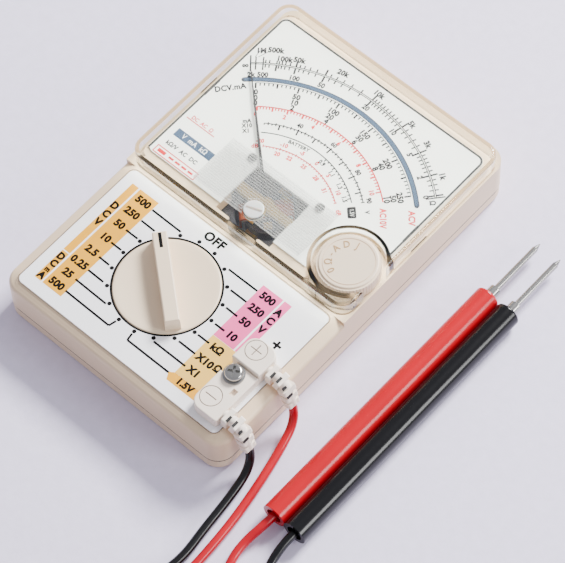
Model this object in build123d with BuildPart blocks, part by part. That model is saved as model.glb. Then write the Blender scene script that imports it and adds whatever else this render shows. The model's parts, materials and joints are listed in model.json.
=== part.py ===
"""Pocket analogue multimeter with captive test leads, as an assembly of separate pieces.

Frame: origin at the centre of the case's underside, +X to the meter's right, +Y towards the
scale, +Z out of the face. Millimetres.
"""
from build123d import *
import os
from math import cos, pi, radians, sin, tan

os.makedirs("parts", exist_ok=True)

# ---------------------------------------------------------------- driving dimensions
CASE_W = 88.0
CASE_H = 131.0
CASE_R = 6.0
WALL = 2.0
PARTING_Z = 4.4
SHADOW_GAP = 0.7
RIM_Z = 15.2
PANEL_Z = 17.0
RIM_RUN = 4.0
CEILING_Z = 14.8

LABEL_W = 80.0
LABEL_TOP = -11.4
LABEL_BOTTOM = -62.4
LABEL_T = 0.4

COVER_W = 86.8
COVER_BOTTOM = -9.8
COVER_TOP = 63.1
COVER_Z = 23.4
COVER_T = 1.4

DIAL_W = 81.2
DIAL_BOTTOM = -4.6
DIAL_TOP = 58.7
DIAL_Z = 19.4
DIAL_T = 0.5

KNOB_X, KNOB_Y = -4.15, -35.1
KNOB_R = 16.4
KNOB_TOP = 17.2
KNOB_REST = -50.0
POSITIONS = 18

PIVOT_X, PIVOT_Y = 0.3, 4.0
POINTER_REST = -47.4
POINTER_TIP = 49.0

ZERO_X, ZERO_Y = 0.3, -1.2
ZERO_R = 3.15
ZERO_PIN_Z = 18.1

WHEEL_X, WHEEL_Y = 33.3, 4.1
WHEEL_R = 9.8
WELL_R = 11.3

JACK_X = 32.4
JACK_PITCH = 19.05
SCREW_Y = -45.5
PLUS_Y = SCREW_Y + JACK_PITCH / 2
MINUS_Y = SCREW_Y - JACK_PITCH / 2

BOARD_Z = 7.0
BOARD_T = 1.6
BOARD_TOP = BOARD_Z + BOARD_T

LEAD_D = 2.8
PROBE_D = 8.0
RED_X = 65.7
BLACK_X = 73.85
PROBE_REAR = -66.2
PROBE_FRONT = 30.4
TIP_END = 54.5

RUN_FIT = 0.05
GAP = 0.15
TOP_CENTRE = (COVER_TOP + COVER_BOTTOM) / 2
TOP_LENGTH = COVER_TOP - COVER_BOTTOM


def finish(shape, label):
    """Label one finished piece and write its file."""
    shape.label = label
    export_step(shape, f"parts/{label}.step")


# ---------------------------------------------------------------- case
CASE_SCREWS = [(0.3, 57.6), (KNOB_X, -58.4)]
BOSS_R = 3.6
SCREW_TOP = 12.0
MOVEMENT_PADS = [(-15.2, 16.9), (15.8, 16.9), (-15.2, -6.2), (15.8, -6.2)]

with BuildPart() as rear_case:
    with BuildSketch(Plane.XY):
        RectangleRounded(CASE_W - 0.2, CASE_H - 0.2, CASE_R)
    extrude(amount=PARTING_Z)
    fillet(rear_case.faces().sort_by(Axis.Z)[0].edges(), 1.2)
    with BuildSketch(Plane.XY.offset(WALL)):
        RectangleRounded(CASE_W - 2 * WALL, CASE_H - 2 * WALL, CASE_R - WALL)
    extrude(amount=PARTING_Z, mode=Mode.SUBTRACT)
    with BuildSketch(Plane.XY.offset(WALL)):
        RectangleRounded(CASE_W - 2 * WALL - 0.3, CASE_H - 2 * WALL - 0.3, CASE_R - WALL)
        RectangleRounded(CASE_W - 2 * WALL - 2.7, CASE_H - 2 * WALL - 2.7, 3.0, mode=Mode.SUBTRACT)
    extrude(amount=4.2)
    with BuildSketch(Plane.XY.offset(WALL - 0.2)):
        RectangleRounded(CASE_W - 2 * WALL + 0.4, CASE_H - 2 * WALL + 0.4, CASE_R - WALL)
        RectangleRounded(CASE_W - 2 * WALL - 2.7, CASE_H - 2 * WALL - 2.7, 3.0, mode=Mode.SUBTRACT)
    extrude(amount=1.8)
    with BuildSketch(Plane.XY.offset(WALL - 0.2)):
        with Locations(*CASE_SCREWS):
            Circle(BOSS_R)
        with Locations(*MOVEMENT_PADS):
            Circle(2.4)
    extrude(amount=1.2)
    with Locations(*[(x, y, WALL + 1.0) for x, y in CASE_SCREWS]):
        Hole(1.7, depth=WALL + 1.0)
    with BuildSketch(Plane.XY):
        with Locations(*CASE_SCREWS):
            Circle(3.1)
    extrude(amount=1.5, mode=Mode.SUBTRACT)
finish(rear_case.part, "rear_case")

with BuildPart() as front_case:
    with BuildSketch(Plane.XY.offset(PARTING_Z + SHADOW_GAP)):
        RectangleRounded(CASE_W, CASE_H, CASE_R)
    extrude(amount=RIM_Z - PARTING_Z - SHADOW_GAP)
    with BuildSketch(Plane.XY.offset(RIM_Z)):
        RectangleRounded(CASE_W, CASE_H, CASE_R)
    with BuildSketch(Plane.XY.offset(PANEL_Z)):
        RectangleRounded(CASE_W - 2 * RIM_RUN, CASE_H - 2 * RIM_RUN, 2.2)
    loft()
    rim_edges = front_case.edges().filter_by_position(Axis.Z, RIM_Z - 0.01, RIM_Z + 0.01)
    fillet(rim_edges, 1.6)
    # full-height zone under the cover
    with BuildSketch(Plane.XY.offset(RIM_Z - 4.0)):
        RectangleRounded(CASE_W, CASE_H, CASE_R)
        with Locations((0, COVER_BOTTOM - 0.5 - 60.0)):
            Rectangle(CASE_W + 2, 120.0, mode=Mode.SUBTRACT)
    extrude(amount=PANEL_Z - RIM_Z + 4.0)
    # cavity from below
    with BuildSketch(Plane.XY.offset(PARTING_Z)):
        RectangleRounded(CASE_W - 2 * WALL, CASE_H - 2 * WALL, CASE_R - WALL)
    extrude(amount=CEILING_Z - PARTING_Z, mode=Mode.SUBTRACT)
    # recess for the label plate
    with BuildSketch(Plane.XY.offset(PANEL_Z - LABEL_T)):
        with Locations((0, (LABEL_TOP + LABEL_BOTTOM) / 2)):
            RectangleRounded(LABEL_W + 2 * GAP, LABEL_TOP - LABEL_BOTTOM + 2 * GAP, 2.1)
    extrude(amount=2.0, mode=Mode.SUBTRACT)
    # knob well with its floor
    with BuildSketch(Plane.XY.offset(CEILING_Z - 2.6)):
        with Locations((KNOB_X, KNOB_Y)):
            Circle(KNOB_R + 3.0)
    extrude(amount=3.0)
    with BuildSketch(Plane.XY.offset(CEILING_Z - 0.6)):
        with Locations((KNOB_X, KNOB_Y)):
            Circle(KNOB_R + 0.6)
    extrude(amount=6.0, mode=Mode.SUBTRACT)
    with BuildSketch(Plane.XY.offset(CEILING_Z - 4.0)):
        with Locations((KNOB_X, KNOB_Y)):
            Circle(6.0 + RUN_FIT)
    extrude(amount=6.0, mode=Mode.SUBTRACT)
    # raised ledge that carries the dial
    with BuildSketch(Plane.XY.offset(CEILING_Z)):
        with Locations((0, (DIAL_TOP + DIAL_BOTTOM) / 2 - 0.6)):
            RectangleRounded(DIAL_W + 1.0, DIAL_TOP - DIAL_BOTTOM + 3.6, 3.0)
    extrude(amount=DIAL_Z - CEILING_Z)
    with BuildSketch(Plane.XY.offset(CEILING_Z - 1.0)):
        with Locations((0, (DIAL_TOP + DIAL_BOTTOM) / 2 + 1.0)):
            RectangleRounded(DIAL_W - 8.0, DIAL_TOP - DIAL_BOTTOM - 8.0, 3.0)
        with Locations((PIVOT_X, PIVOT_Y)):
            Rectangle(21.6, 21.0)
        with Locations((WHEEL_X, WHEEL_Y)):
            Circle(WELL_R + 3.2, mode=Mode.SUBTRACT)
        with Locations((-30.0, 0), (22.5, -7.5)):
            Rectangle(3.0, 3.0, mode=Mode.SUBTRACT)
    extrude(amount=8.0, mode=Mode.SUBTRACT)
    # open floor round the adjusting wheel
    with BuildSketch(Plane.XY.offset(PANEL_Z)):
        with Locations((WHEEL_X, WHEEL_Y)):
            Circle(WELL_R + 2.0)
    extrude(amount=6.0, mode=Mode.SUBTRACT)
    # curved window in the front edge of the ledge, where the movement shows
    with BuildSketch(Plane.XY.offset(CEILING_Z - 1.0)):
        with Locations((PIVOT_X + 0.6, PIVOT_Y - 3.8)):
            Circle(9.0)
        with Locations((PIVOT_X, PIVOT_Y + 6.0)):
            Rectangle(19.0, 12.0)
    extrude(amount=8.0, mode=Mode.SUBTRACT)
    # holes for the wheel's stem, the jacks and the centre insert
    with BuildSketch(Plane.XY.offset(CEILING_Z - 1.0)):
        with Locations((WHEEL_X, WHEEL_Y)):
            Circle(3.0 + RUN_FIT)
        with Locations((JACK_X, PLUS_Y), (JACK_X, MINUS_Y), (JACK_X, SCREW_Y)):
            Circle(3.0)
    extrude(amount=8.0, mode=Mode.SUBTRACT)
    # screw bosses
    with BuildSketch(Plane.XY.offset(WALL + 1.0)):
        with Locations(*CASE_SCREWS):
            Circle(BOSS_R)
    extrude(amount=CEILING_Z - WALL - 0.9)
    with BuildSketch(Plane.XY):
        with Locations(*CASE_SCREWS):
            Circle(1.35)
    extrude(amount=SCREW_TOP, mode=Mode.SUBTRACT)
finish(front_case.part, "front_case")

with BuildPart() as case_screws:
    with BuildSketch(Plane.XY.offset(0.2)):
        with Locations(*CASE_SCREWS):
            Circle(2.8)
    extrude(amount=1.3)
    with BuildSketch(Plane.XY.offset(1.5)):
        with Locations(*CASE_SCREWS):
            Circle(1.35)
    extrude(amount=SCREW_TOP - 2.0)
    with BuildSketch(Plane.XY.offset(0.2)):
        with Locations(*CASE_SCREWS):
            Rectangle(3.2, 0.7)
            Rectangle(0.7, 3.2)
    extrude(amount=0.8, mode=Mode.SUBTRACT)
finish(case_screws.part, "case_screws")

# ---------------------------------------------------------------- clear cover and its parts
with BuildPart() as meter_cover:
    with BuildSketch(Plane.XY.offset(PANEL_Z)):
        with Locations((0, TOP_CENTRE)):
            RectangleRounded(COVER_W, TOP_LENGTH, 5.0)
    extrude(amount=COVER_Z - PANEL_Z)
    fillet(meter_cover.faces().sort_by(Axis.Z)[-1].edges(), 1.3)
    with BuildSketch(Plane.XY.offset(PANEL_Z)):
        with Locations((0, TOP_CENTRE)):
            RectangleRounded(COVER_W - 2 * COVER_T, TOP_LENGTH - 2 * COVER_T, 3.6)
        with Locations((WHEEL_X, WHEEL_Y)):
            Circle(WELL_R + 1.3, mode=Mode.SUBTRACT)
    extrude(amount=COVER_Z - COVER_T - PANEL_Z, mode=Mode.SUBTRACT)
    with BuildSketch(Plane.XY.offset(PANEL_Z)):
        with Locations((WHEEL_X, WHEEL_Y)):
            Circle(WELL_R)
        with Locations((ZERO_X, ZERO_Y)):
            Circle(ZERO_R + RUN_FIT)
    extrude(amount=20.0, mode=Mode.SUBTRACT)
    # moulded ring round the zero screw
    with BuildSketch(Plane.XY.offset(COVER_Z)):
        with Locations((ZERO_X, ZERO_Y)):
            Circle(ZERO_R + 0.7)
            Circle(ZERO_R + RUN_FIT, mode=Mode.SUBTRACT)
    extrude(amount=0.3)
finish(meter_cover.part, "meter_cover")

LENS_X, LENS_Y = -0.7, 5.1
LENS_W, LENS_H = 42.2, 18.2
LENS_T = 0.7
LENS_TOP = COVER_Z - COVER_T
with BuildPart() as ribbed_lens:
    with BuildSketch(Plane.XY.offset(LENS_TOP - LENS_T)):
        with Locations((LENS_X, LENS_Y)):
            Rectangle(LENS_W, LENS_H)
        with Locations((ZERO_X, ZERO_Y)):
            Circle(ZERO_R + 0.4, mode=Mode.SUBTRACT)
        with Locations((WHEEL_X, WHEEL_Y)):
            Circle(WELL_R + 1.5, mode=Mode.SUBTRACT)
    extrude(amount=LENS_T)
finish(ribbed_lens.part, "ribbed_lens")

with BuildPart() as zero_adjust_screw:
    with BuildSketch(Plane.XY.offset(LENS_TOP - LENS_T)):
        with Locations((ZERO_X, ZERO_Y)):
            Circle(ZERO_R)
    extrude(amount=COVER_Z + 0.4 - LENS_TOP + LENS_T)
    fillet(zero_adjust_screw.faces().sort_by(Axis.Z)[-1].edges(), 0.3)
    with BuildSketch(Plane.XY.offset(COVER_Z - 0.6)):
        with Locations(Location((ZERO_X, ZERO_Y, 0), (0, 0, 1), 20)):
            Rectangle(5.2, 0.9)
    extrude(amount=2.0, mode=Mode.SUBTRACT)
    # eccentric pin that moves the zero lever
    with BuildSketch(Plane.XY.offset(ZERO_PIN_Z)):
        with Locations((ZERO_X, ZERO_Y - 0.8)):
            Circle(0.4)
    extrude(amount=LENS_TOP - LENS_T - ZERO_PIN_Z)
finish(zero_adjust_screw.part, "zero_adjust_screw")

DIAL_SCREWS = [(PIVOT_X - 13.6, PIVOT_Y + 9.2), (PIVOT_X + 13.6, PIVOT_Y + 9.2)]
with BuildPart() as dial_plate:
    with BuildSketch(Plane.XY.offset(DIAL_Z)):
        with Locations((0, (DIAL_TOP + DIAL_BOTTOM) / 2)):
            RectangleRounded(DIAL_W, DIAL_TOP - DIAL_BOTTOM, 2.4)
        with Locations((WHEEL_X, WHEEL_Y)):
            Circle(WELL_R + 1.4, mode=Mode.SUBTRACT)
        with Locations((PIVOT_X, (DIAL_BOTTOM + 12.0) / 2 - 1.0)):
            Rectangle(21.2, 12.0 - DIAL_BOTTOM + 2.0, mode=Mode.SUBTRACT)
        with Locations(*DIAL_SCREWS):
            Circle(0.9, mode=Mode.SUBTRACT)
    extrude(amount=DIAL_T)
finish(dial_plate.part, "dial_plate")

with BuildPart() as dial_screws:
    with BuildSketch(Plane.XY.offset(DIAL_Z + DIAL_T)):
        with Locations(*DIAL_SCREWS):
            Circle(1.5)
    extrude(amount=0.6)
    with BuildSketch(Plane.XY.offset(DIAL_Z - 3.0)):
        with Locations(*DIAL_SCREWS):
            Circle(0.8)
    extrude(amount=3.0 + DIAL_T)
    with BuildSketch(Plane.XY.offset(DIAL_Z + DIAL_T + 0.3)):
        with Locations(*DIAL_SCREWS):
            Rectangle(3.2, 0.4)
    extrude(amount=1.0, mode=Mode.SUBTRACT)
finish(dial_screws.part, "dial_screws")

with BuildPart() as panel_plate:
    with BuildSketch(Plane.XY.offset(PANEL_Z - LABEL_T)):
        with Locations((0, (LABEL_TOP + LABEL_BOTTOM) / 2)):
            RectangleRounded(LABEL_W, LABEL_TOP - LABEL_BOTTOM, 2.0)
        with Locations((KNOB_X, KNOB_Y)):
            Circle(KNOB_R + 0.6, mode=Mode.SUBTRACT)
        with Locations((JACK_X, PLUS_Y), (JACK_X, MINUS_Y), (JACK_X, SCREW_Y)):
            Circle(3.0, mode=Mode.SUBTRACT)
    extrude(amount=LABEL_T)
finish(panel_plate.part, "panel_plate")

# ---------------------------------------------------------------- range selector
ROTOR_R = 14.5
ROTOR_Z = 9.7
ROTOR_T = 2.2
HUB_R = 6.0
BAR_W = 4.9
BAR_TOP = 22.4
BAR_TIP = 16.2
BAR_TAIL = 15.2
KNOB_TURN = Location((KNOB_X, KNOB_Y, 0), (0, 0, 1), -KNOB_REST)
DISH_DEPTH = 0.9
DISH_SPHERE = 129.0
with BuildPart() as selector_knob:
    with BuildSketch(Plane.XY.offset(CEILING_Z - 0.4)):
        with Locations((KNOB_X, KNOB_Y)):
            Circle(KNOB_R)
    extrude(amount=KNOB_TOP - CEILING_Z + 0.4)
    fillet(selector_knob.faces().sort_by(Axis.Z)[-1].edges(), 0.5)
    # shallow dish on both sides of the bar
    with Locations((KNOB_X, KNOB_Y, KNOB_TOP - DISH_DEPTH + DISH_SPHERE)):
        Sphere(DISH_SPHERE, mode=Mode.SUBTRACT)
    with BuildSketch(Plane.XY.offset(ROTOR_Z + ROTOR_T)):
        with Locations((KNOB_X, KNOB_Y)):
            Circle(HUB_R)
    extrude(amount=CEILING_Z - ROTOR_Z - ROTOR_T)
    with BuildSketch(Plane.XY.offset(ROTOR_Z + 0.4)):
        with Locations((KNOB_X, KNOB_Y)):
            RegularPolygon(4.0, 6)
    extrude(amount=ROTOR_T)
    # bar handle, drafted, standing on the disc
    with BuildSketch(Plane.XY.offset(KNOB_TOP - 1.0)):
        with Locations(KNOB_TURN):
            with Locations((0, (BAR_TIP - BAR_TAIL) / 2)):
                Rectangle(BAR_W, BAR_TIP + BAR_TAIL)
    extrude(amount=BAR_TOP - KNOB_TOP + 1.0, taper=2.0)
    fillet(selector_knob.faces().sort_by(Axis.Z)[-1].edges(), 0.4)
    with BuildSketch(Plane.XY.offset(ROTOR_Z)):
        with Locations((KNOB_X, KNOB_Y)):
            Circle(1.1)
    extrude(amount=ROTOR_T + 4.0, mode=Mode.SUBTRACT)
finish(selector_knob.part, "selector_knob")

with BuildPart() as selector_rotor:
    with BuildSketch(Plane.XY.offset(ROTOR_Z)):
        with Locations((KNOB_X, KNOB_Y)):
            Circle(ROTOR_R)
            RegularPolygon(4.0 + RUN_FIT, 6, mode=Mode.SUBTRACT)
    extrude(amount=ROTOR_T)
    # radial bores for the detent balls and springs
    for angle in (90, 270):
        with Locations(Location((KNOB_X, KNOB_Y, ROTOR_Z + ROTOR_T / 2), (0, 0, 1), angle)):
            with Locations(Location((12.6, 0, 0), (0, 90, 0))):
                Cylinder(0.9, 5.6, mode=Mode.SUBTRACT)
finish(selector_rotor.part, "selector_rotor")

with BuildPart() as rotor_screw:
    with BuildSketch(Plane.XY.offset(ROTOR_Z - 0.9)):
        with Locations((KNOB_X, KNOB_Y)):
            Circle(5.2)
    extrude(amount=0.4)
    with BuildSketch(Plane.XY.offset(ROTOR_Z - 2.2)):
        with Locations((KNOB_X, KNOB_Y)):
            Circle(2.2)
    extrude(amount=1.4)
    with BuildSketch(Plane.XY.offset(ROTOR_Z - 0.8)):
        with Locations((KNOB_X, KNOB_Y)):
            Circle(1.1)
    extrude(amount=5.0)
finish(rotor_screw.part, "rotor_screw")

WIPER_RADII = (7.4, 9.8, 12.2)
with BuildPart() as contact_wipers:
    for radius in WIPER_RADII:
        with Locations(Location((KNOB_X, KNOB_Y, ROTOR_Z), (0, 0, 1), 90 - KNOB_REST)):
            with Locations((radius, 0, -0.15)):
                Box(1.2, 6.0, 0.3)
            with Locations((radius, 2.4, -0.4)):
                Box(1.2, 1.0, 0.4)
            with Locations((radius, -2.4, -0.4)):
                Box(1.2, 1.0, 0.4)
finish(contact_wipers.part, "contact_wipers")

DETENT_R = 15.4
with BuildPart() as detent_ring:
    with BuildSketch(Plane.XY.offset(ROTOR_Z + 0.1)):
        with Locations((KNOB_X, KNOB_Y)):
            Circle(DETENT_R + 1.8)
            Circle(DETENT_R, mode=Mode.SUBTRACT)
            with PolarLocations(DETENT_R + 0.1, POSITIONS):
                Circle(0.7, mode=Mode.SUBTRACT)
    extrude(amount=CEILING_Z - 2.6 - ROTOR_Z - 0.1)
finish(detent_ring.part, "detent_ring")

BALL_R = 0.85
with BuildPart() as detent_balls:
    with Locations((KNOB_X, KNOB_Y, ROTOR_Z + ROTOR_T / 2)):
        with Locations((0, 14.3, 0), (0, -14.3, 0)):
            Sphere(BALL_R)
finish(detent_balls.part, "detent_balls")

SPRING_R = 0.62
with BuildPart() as detent_springs:
    for side in (-1, 1):
        spring_foot = (KNOB_X, KNOB_Y + side * 9.95, ROTOR_Z + ROTOR_T / 2)
        with BuildLine() as coil_line:
            Helix(0.65, 3.2, SPRING_R, center=spring_foot, direction=(0, side, 0))
        with BuildSketch(Plane(coil_line.line @ 0, z_dir=coil_line.line % 0)):
            Circle(0.13)
        sweep(path=coil_line.line, is_frenet=True)
finish(detent_springs.part, "detent_springs")

# ---------------------------------------------------------------- circuit board
BOARD_W = 80.0
BOARD_BOTTOM, BOARD_END = -62.5, -11.4
BOARD_SCREWS = [(-37.0, -14.4), (-37.0, -59.5), (37.0, -14.4)]
with BuildPart() as circuit_board:
    with BuildSketch(Plane.XY.offset(BOARD_Z)):
        with Locations((0, (BOARD_BOTTOM + BOARD_END) / 2)):
            Rectangle(BOARD_W, BOARD_END - BOARD_BOTTOM)
        with Locations((WHEEL_X - 1.3, BOARD_END + 2.8)):
            Rectangle(16.0, 5.8)
        with Locations(CASE_SCREWS[1]):
            Circle(BOSS_R + 0.5, mode=Mode.SUBTRACT)
        with Locations((CASE_SCREWS[1][0], CASE_SCREWS[1][1] - 6.0)):
            Rectangle(2 * BOSS_R + 1.0, 12.0, mode=Mode.SUBTRACT)
        with Locations((KNOB_X, KNOB_Y)):
            Circle(3.2, mode=Mode.SUBTRACT)
        with Locations(*BOARD_SCREWS):
            Circle(0.9, mode=Mode.SUBTRACT)
    extrude(amount=BOARD_T)
finish(circuit_board.part, "circuit_board")

with BuildPart() as switch_contacts:
    with BuildSketch(Plane.XY.offset(BOARD_TOP)):
        with Locations((KNOB_X, KNOB_Y)):
            Circle(8.2)
            Circle(6.4, mode=Mode.SUBTRACT)
            Circle(10.6)
            Circle(9.0, mode=Mode.SUBTRACT)
            Circle(8.2)
            Circle(6.4, mode=Mode.SUBTRACT)
            with PolarLocations(12.3, POSITIONS, start_angle=90 - KNOB_REST):
                Rectangle(2.0, 1.8)
    extrude(amount=0.12)
finish(switch_contacts.part, "switch_contacts")

with BuildPart() as board_screws:
    with BuildSketch(Plane.XY.offset(BOARD_Z - 1.1)):
        with Locations(*BOARD_SCREWS):
            Circle(1.7)
    extrude(amount=1.1)
    with BuildSketch(Plane.XY.offset(BOARD_Z)):
        with Locations(*BOARD_SCREWS):
            Circle(0.9)
    extrude(amount=5.0)
finish(board_screws.part, "board_screws")

RESISTORS = [(-31.0, y) for y in (-18.0, -23.0, -28.0, -33.0, -38.0, -43.0, -48.0, -53.0)]
RESISTORS += [(20.0, y) for y in (-30.0, -35.0, -40.0, -45.0, -50.0, -55.0)]
with BuildPart() as resistors:
    for x, y in RESISTORS:
        with Locations((x, y, BOARD_TOP + 1.3)):
            Cylinder(1.1, 6.0, rotation=(0, 90, 0))
            Cylinder(0.3, 10.0, rotation=(0, 90, 0))
        with Locations((x - 4.8, y, BOARD_TOP + 0.65), (x + 4.8, y, BOARD_TOP + 0.65)):
            Cylinder(0.3, 1.3)
finish(resistors.part, "resistors")

DIODES = [(3.0, -56.0), (3.0, -60.0), (-20.0, -57.0)]
with BuildPart() as diodes:
    for x, y in DIODES:
        with Locations((x, y, BOARD_TOP + 1.0)):
            Cylinder(0.9, 3.6, rotation=(0, 90, 0))
            Cylinder(0.25, 7.0, rotation=(0, 90, 0))
        with Locations((x - 3.3, y, BOARD_TOP + 0.5), (x + 3.3, y, BOARD_TOP + 0.5)):
            Cylinder(0.25, 1.0)
finish(diodes.part, "diodes")

with BuildPart() as capacitor:
    with Locations((-20.0, -15.4, BOARD_TOP + 2.5)):
        Box(7.2, 5.0, 5.0)
    fillet(capacitor.edges().filter_by(Axis.Z), 0.6)
finish(capacitor.part, "capacitor")

FUSE_X, FUSE_Y = 14.5, -13.4
FUSE_Z = BOARD_TOP + 3.1
with BuildPart() as fuse:
    with Locations((FUSE_X, FUSE_Y, FUSE_Z)):
        Cylinder(2.4, 10.0, rotation=(0, 90, 0))
        with Locations((-7.5, 0, 0), (7.5, 0, 0)):
            Cylinder(2.5, 5.0, rotation=(0, 90, 0))
finish(fuse.part, "fuse")

with BuildPart() as fuse_clips:
    for side in (-1, 1):
        clip_end = Plane((FUSE_X + side * 7.5, FUSE_Y, FUSE_Z), x_dir=(0, 1, 0), z_dir=(1, 0, 0))
        with BuildSketch(clip_end.offset(-1.5)):
            Circle(2.9)
            Circle(2.5, mode=Mode.SUBTRACT)
            with Locations((0, 2.6)):
                Rectangle(4.0, 2.4, mode=Mode.SUBTRACT)
            with Locations((0, -2.85)):
                Rectangle(5.0, 0.5)
        extrude(amount=3.0)
finish(fuse_clips.part, "fuse_clips")

# ---------------------------------------------------------------- battery compartment
CELL_R = 5.2
CELL_L = 44.0
CELL_Z = WALL + 1.2 + CELL_R
CELL_Y = (31.0, 43.0)
HOLDER_W = 56.0
with BuildPart() as battery_holder:
    with BuildSketch(Plane.XY.offset(WALL)):
        with Locations((0, (CELL_Y[0] + CELL_Y[1]) / 2)):
            RectangleRounded(HOLDER_W, 26.0, 1.5)
    extrude(amount=8.0)
    with BuildSketch(Plane.XY.offset(WALL + 0.9)):
        with Locations((0, (CELL_Y[0] + CELL_Y[1]) / 2)):
            Rectangle(HOLDER_W - 2.4, 23.6)
    extrude(amount=8.0, mode=Mode.SUBTRACT)
finish(battery_holder.part, "battery_holder")

with BuildPart() as battery_cells:
    for y, turn in zip(CELL_Y, (1, -1)):
        cell_axis = Plane((0, y, CELL_Z), x_dir=(0, 1, 0), z_dir=(turn, 0, 0))
        with BuildSketch(cell_axis.offset(-CELL_L / 2)):
            Circle(CELL_R)
        extrude(amount=CELL_L - 1.0)
    fillet(battery_cells.edges(), 0.5)
    for y, turn in zip(CELL_Y, (1, -1)):
        cell_axis = Plane((0, y, CELL_Z), x_dir=(0, 1, 0), z_dir=(turn, 0, 0))
        with BuildSketch(cell_axis.offset(CELL_L / 2 - 1.0)):
            Circle(1.9)
        extrude(amount=1.0)
finish(battery_cells.part, "battery_cells")

PLATE_X = HOLDER_W / 2 - 1.2
with BuildPart() as battery_contacts:
    for y, turn in zip(CELL_Y, (1, -1)):
        with Locations((turn * (PLATE_X - 0.2), y, CELL_Z)):
            Box(0.4, 9.0, 8.0)
        with Locations((-turn * (PLATE_X - 0.2), y, CELL_Z)):
            Box(0.4, 9.0, 8.0)
        with Locations((turn * (PLATE_X - 0.4 - (PLATE_X - 0.4 - CELL_L / 2) / 2), y, CELL_Z)):
            Cylinder(1.6, PLATE_X - 0.4 - CELL_L / 2, rotation=(0, 90, 0))
        spring_end = (-turn * (PLATE_X - 0.7), y, CELL_Z)
        with BuildLine() as coil_line:
            Helix(1.2, PLATE_X - 1.0 - CELL_L / 2, 2.8, center=spring_end, direction=(turn, 0, 0))
        with BuildSketch(Plane(coil_line.line @ 0, z_dir=coil_line.line % 0)):
            Circle(0.25)
        sweep(path=coil_line.line, is_frenet=True)
finish(battery_contacts.part, "battery_contacts")

# ---------------------------------------------------------------- moving-coil movement
FRAME_Z, FRAME_T = 3.0, 1.8
YOKE_Z, YOKE_TOP = FRAME_Z + FRAME_T, 14.2
YOKE_R, YOKE_BORE = 14.6, 9.6
CORE_R = 6.8
CORE_Z, CORE_TOP = 6.9, 13.9
BRIDGE_Z, BRIDGE_T = 17.0, 1.2
BRIDGE_POSTS = [(PIVOT_X - 13.6, PIVOT_Y), (PIVOT_X + 13.6, PIVOT_Y)]
JEWEL_R = 1.2

with BuildPart() as movement_frame:
    with BuildSketch(Plane.XY.offset(FRAME_Z)):
        with Locations((PIVOT_X, PIVOT_Y + 1.0)):
            RectangleRounded(36.0, 28.0, 2.0)
        with Locations((PIVOT_X, PIVOT_Y)):
            Circle(JEWEL_R, mode=Mode.SUBTRACT)
        with Locations(*MOVEMENT_PADS):
            Circle(1.0, mode=Mode.SUBTRACT)
    extrude(amount=FRAME_T)
    with BuildSketch(Plane.XY.offset(YOKE_Z)):
        with Locations(*DIAL_SCREWS):
            Circle(1.9)
            Circle(0.8, mode=Mode.SUBTRACT)
        with Locations((PIVOT_X, PIVOT_Y)):
            Circle(YOKE_R + 0.02, mode=Mode.SUBTRACT)
    extrude(amount=DIAL_Z - YOKE_Z)
finish(movement_frame.part, "movement_frame")

with BuildPart() as magnet_yoke:
    with BuildSketch(Plane.XY.offset(YOKE_Z)):
        with Locations((PIVOT_X, PIVOT_Y)):
            Circle(YOKE_R)
            Circle(YOKE_BORE, mode=Mode.SUBTRACT)
        with Locations(*BRIDGE_POSTS):
            Circle(0.8, mode=Mode.SUBTRACT)
    extrude(amount=YOKE_TOP - YOKE_Z)
finish(magnet_yoke.part, "magnet_yoke")

with BuildPart() as magnet_core:
    with BuildSketch(Plane.XY.offset(CORE_Z)):
        with Locations((PIVOT_X, PIVOT_Y)):
            Circle(CORE_R)
    extrude(amount=CORE_TOP - CORE_Z)
    chamfer(magnet_core.edges(), 0.3)
finish(magnet_core.part, "magnet_core")

with BuildPart() as core_supports:
    with BuildSketch(Plane.XY.offset(9.6)):
        with Locations((PIVOT_X, PIVOT_Y)):
            Rectangle(4.0, 2 * YOKE_BORE + 1.0)
            Circle(CORE_R, mode=Mode.SUBTRACT)
    extrude(amount=1.6)
    with BuildSketch(Plane.XY.offset(9.6)):
        with Locations((PIVOT_X, PIVOT_Y)):
            Circle(YOKE_BORE)
    extrude(amount=1.6, mode=Mode.INTERSECT)
finish(core_supports.part, "core_supports")

with BuildPart() as movement_bridge:
    with BuildSketch(Plane.XY.offset(BRIDGE_Z)):
        with Locations((PIVOT_X, PIVOT_Y)):
            Rectangle(30.6, 3.4)
            Circle(2.6)
            Circle(JEWEL_R, mode=Mode.SUBTRACT)
    extrude(amount=BRIDGE_T)
    with BuildSketch(Plane.XY.offset(YOKE_TOP)):
        with Locations(*BRIDGE_POSTS):
            Rectangle(3.4, 3.4)
        with Locations((PIVOT_X, PIVOT_Y)):
            Circle(12.6, mode=Mode.SUBTRACT)
    extrude(amount=BRIDGE_Z - YOKE_TOP)
    with Locations(*[(x, y, BRIDGE_Z + BRIDGE_T) for x, y in BRIDGE_POSTS]):
        Hole(0.8, depth=8.0)
finish(movement_bridge.part, "movement_bridge")

with BuildPart() as movement_screws:
    with BuildSketch(Plane.XY.offset(BRIDGE_Z + BRIDGE_T)):
        with Locations(*BRIDGE_POSTS):
            Circle(1.3)
    extrude(amount=0.7)
    with BuildSketch(Plane.XY.offset(YOKE_TOP - 4.0)):
        with Locations(*BRIDGE_POSTS):
            Circle(0.8)
    extrude(amount=BRIDGE_Z + BRIDGE_T - YOKE_TOP + 4.0)
    with BuildSketch(Plane.XY.offset(YOKE_Z)):
        with Locations(*MOVEMENT_PADS):
            Circle(1.7)
    extrude(amount=1.1)
    with BuildSketch(Plane.XY.offset(FRAME_Z)):
        with Locations(*MOVEMENT_PADS):
            Circle(1.0)
    extrude(amount=FRAME_T)
finish(movement_screws.part, "movement_screws")

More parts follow.
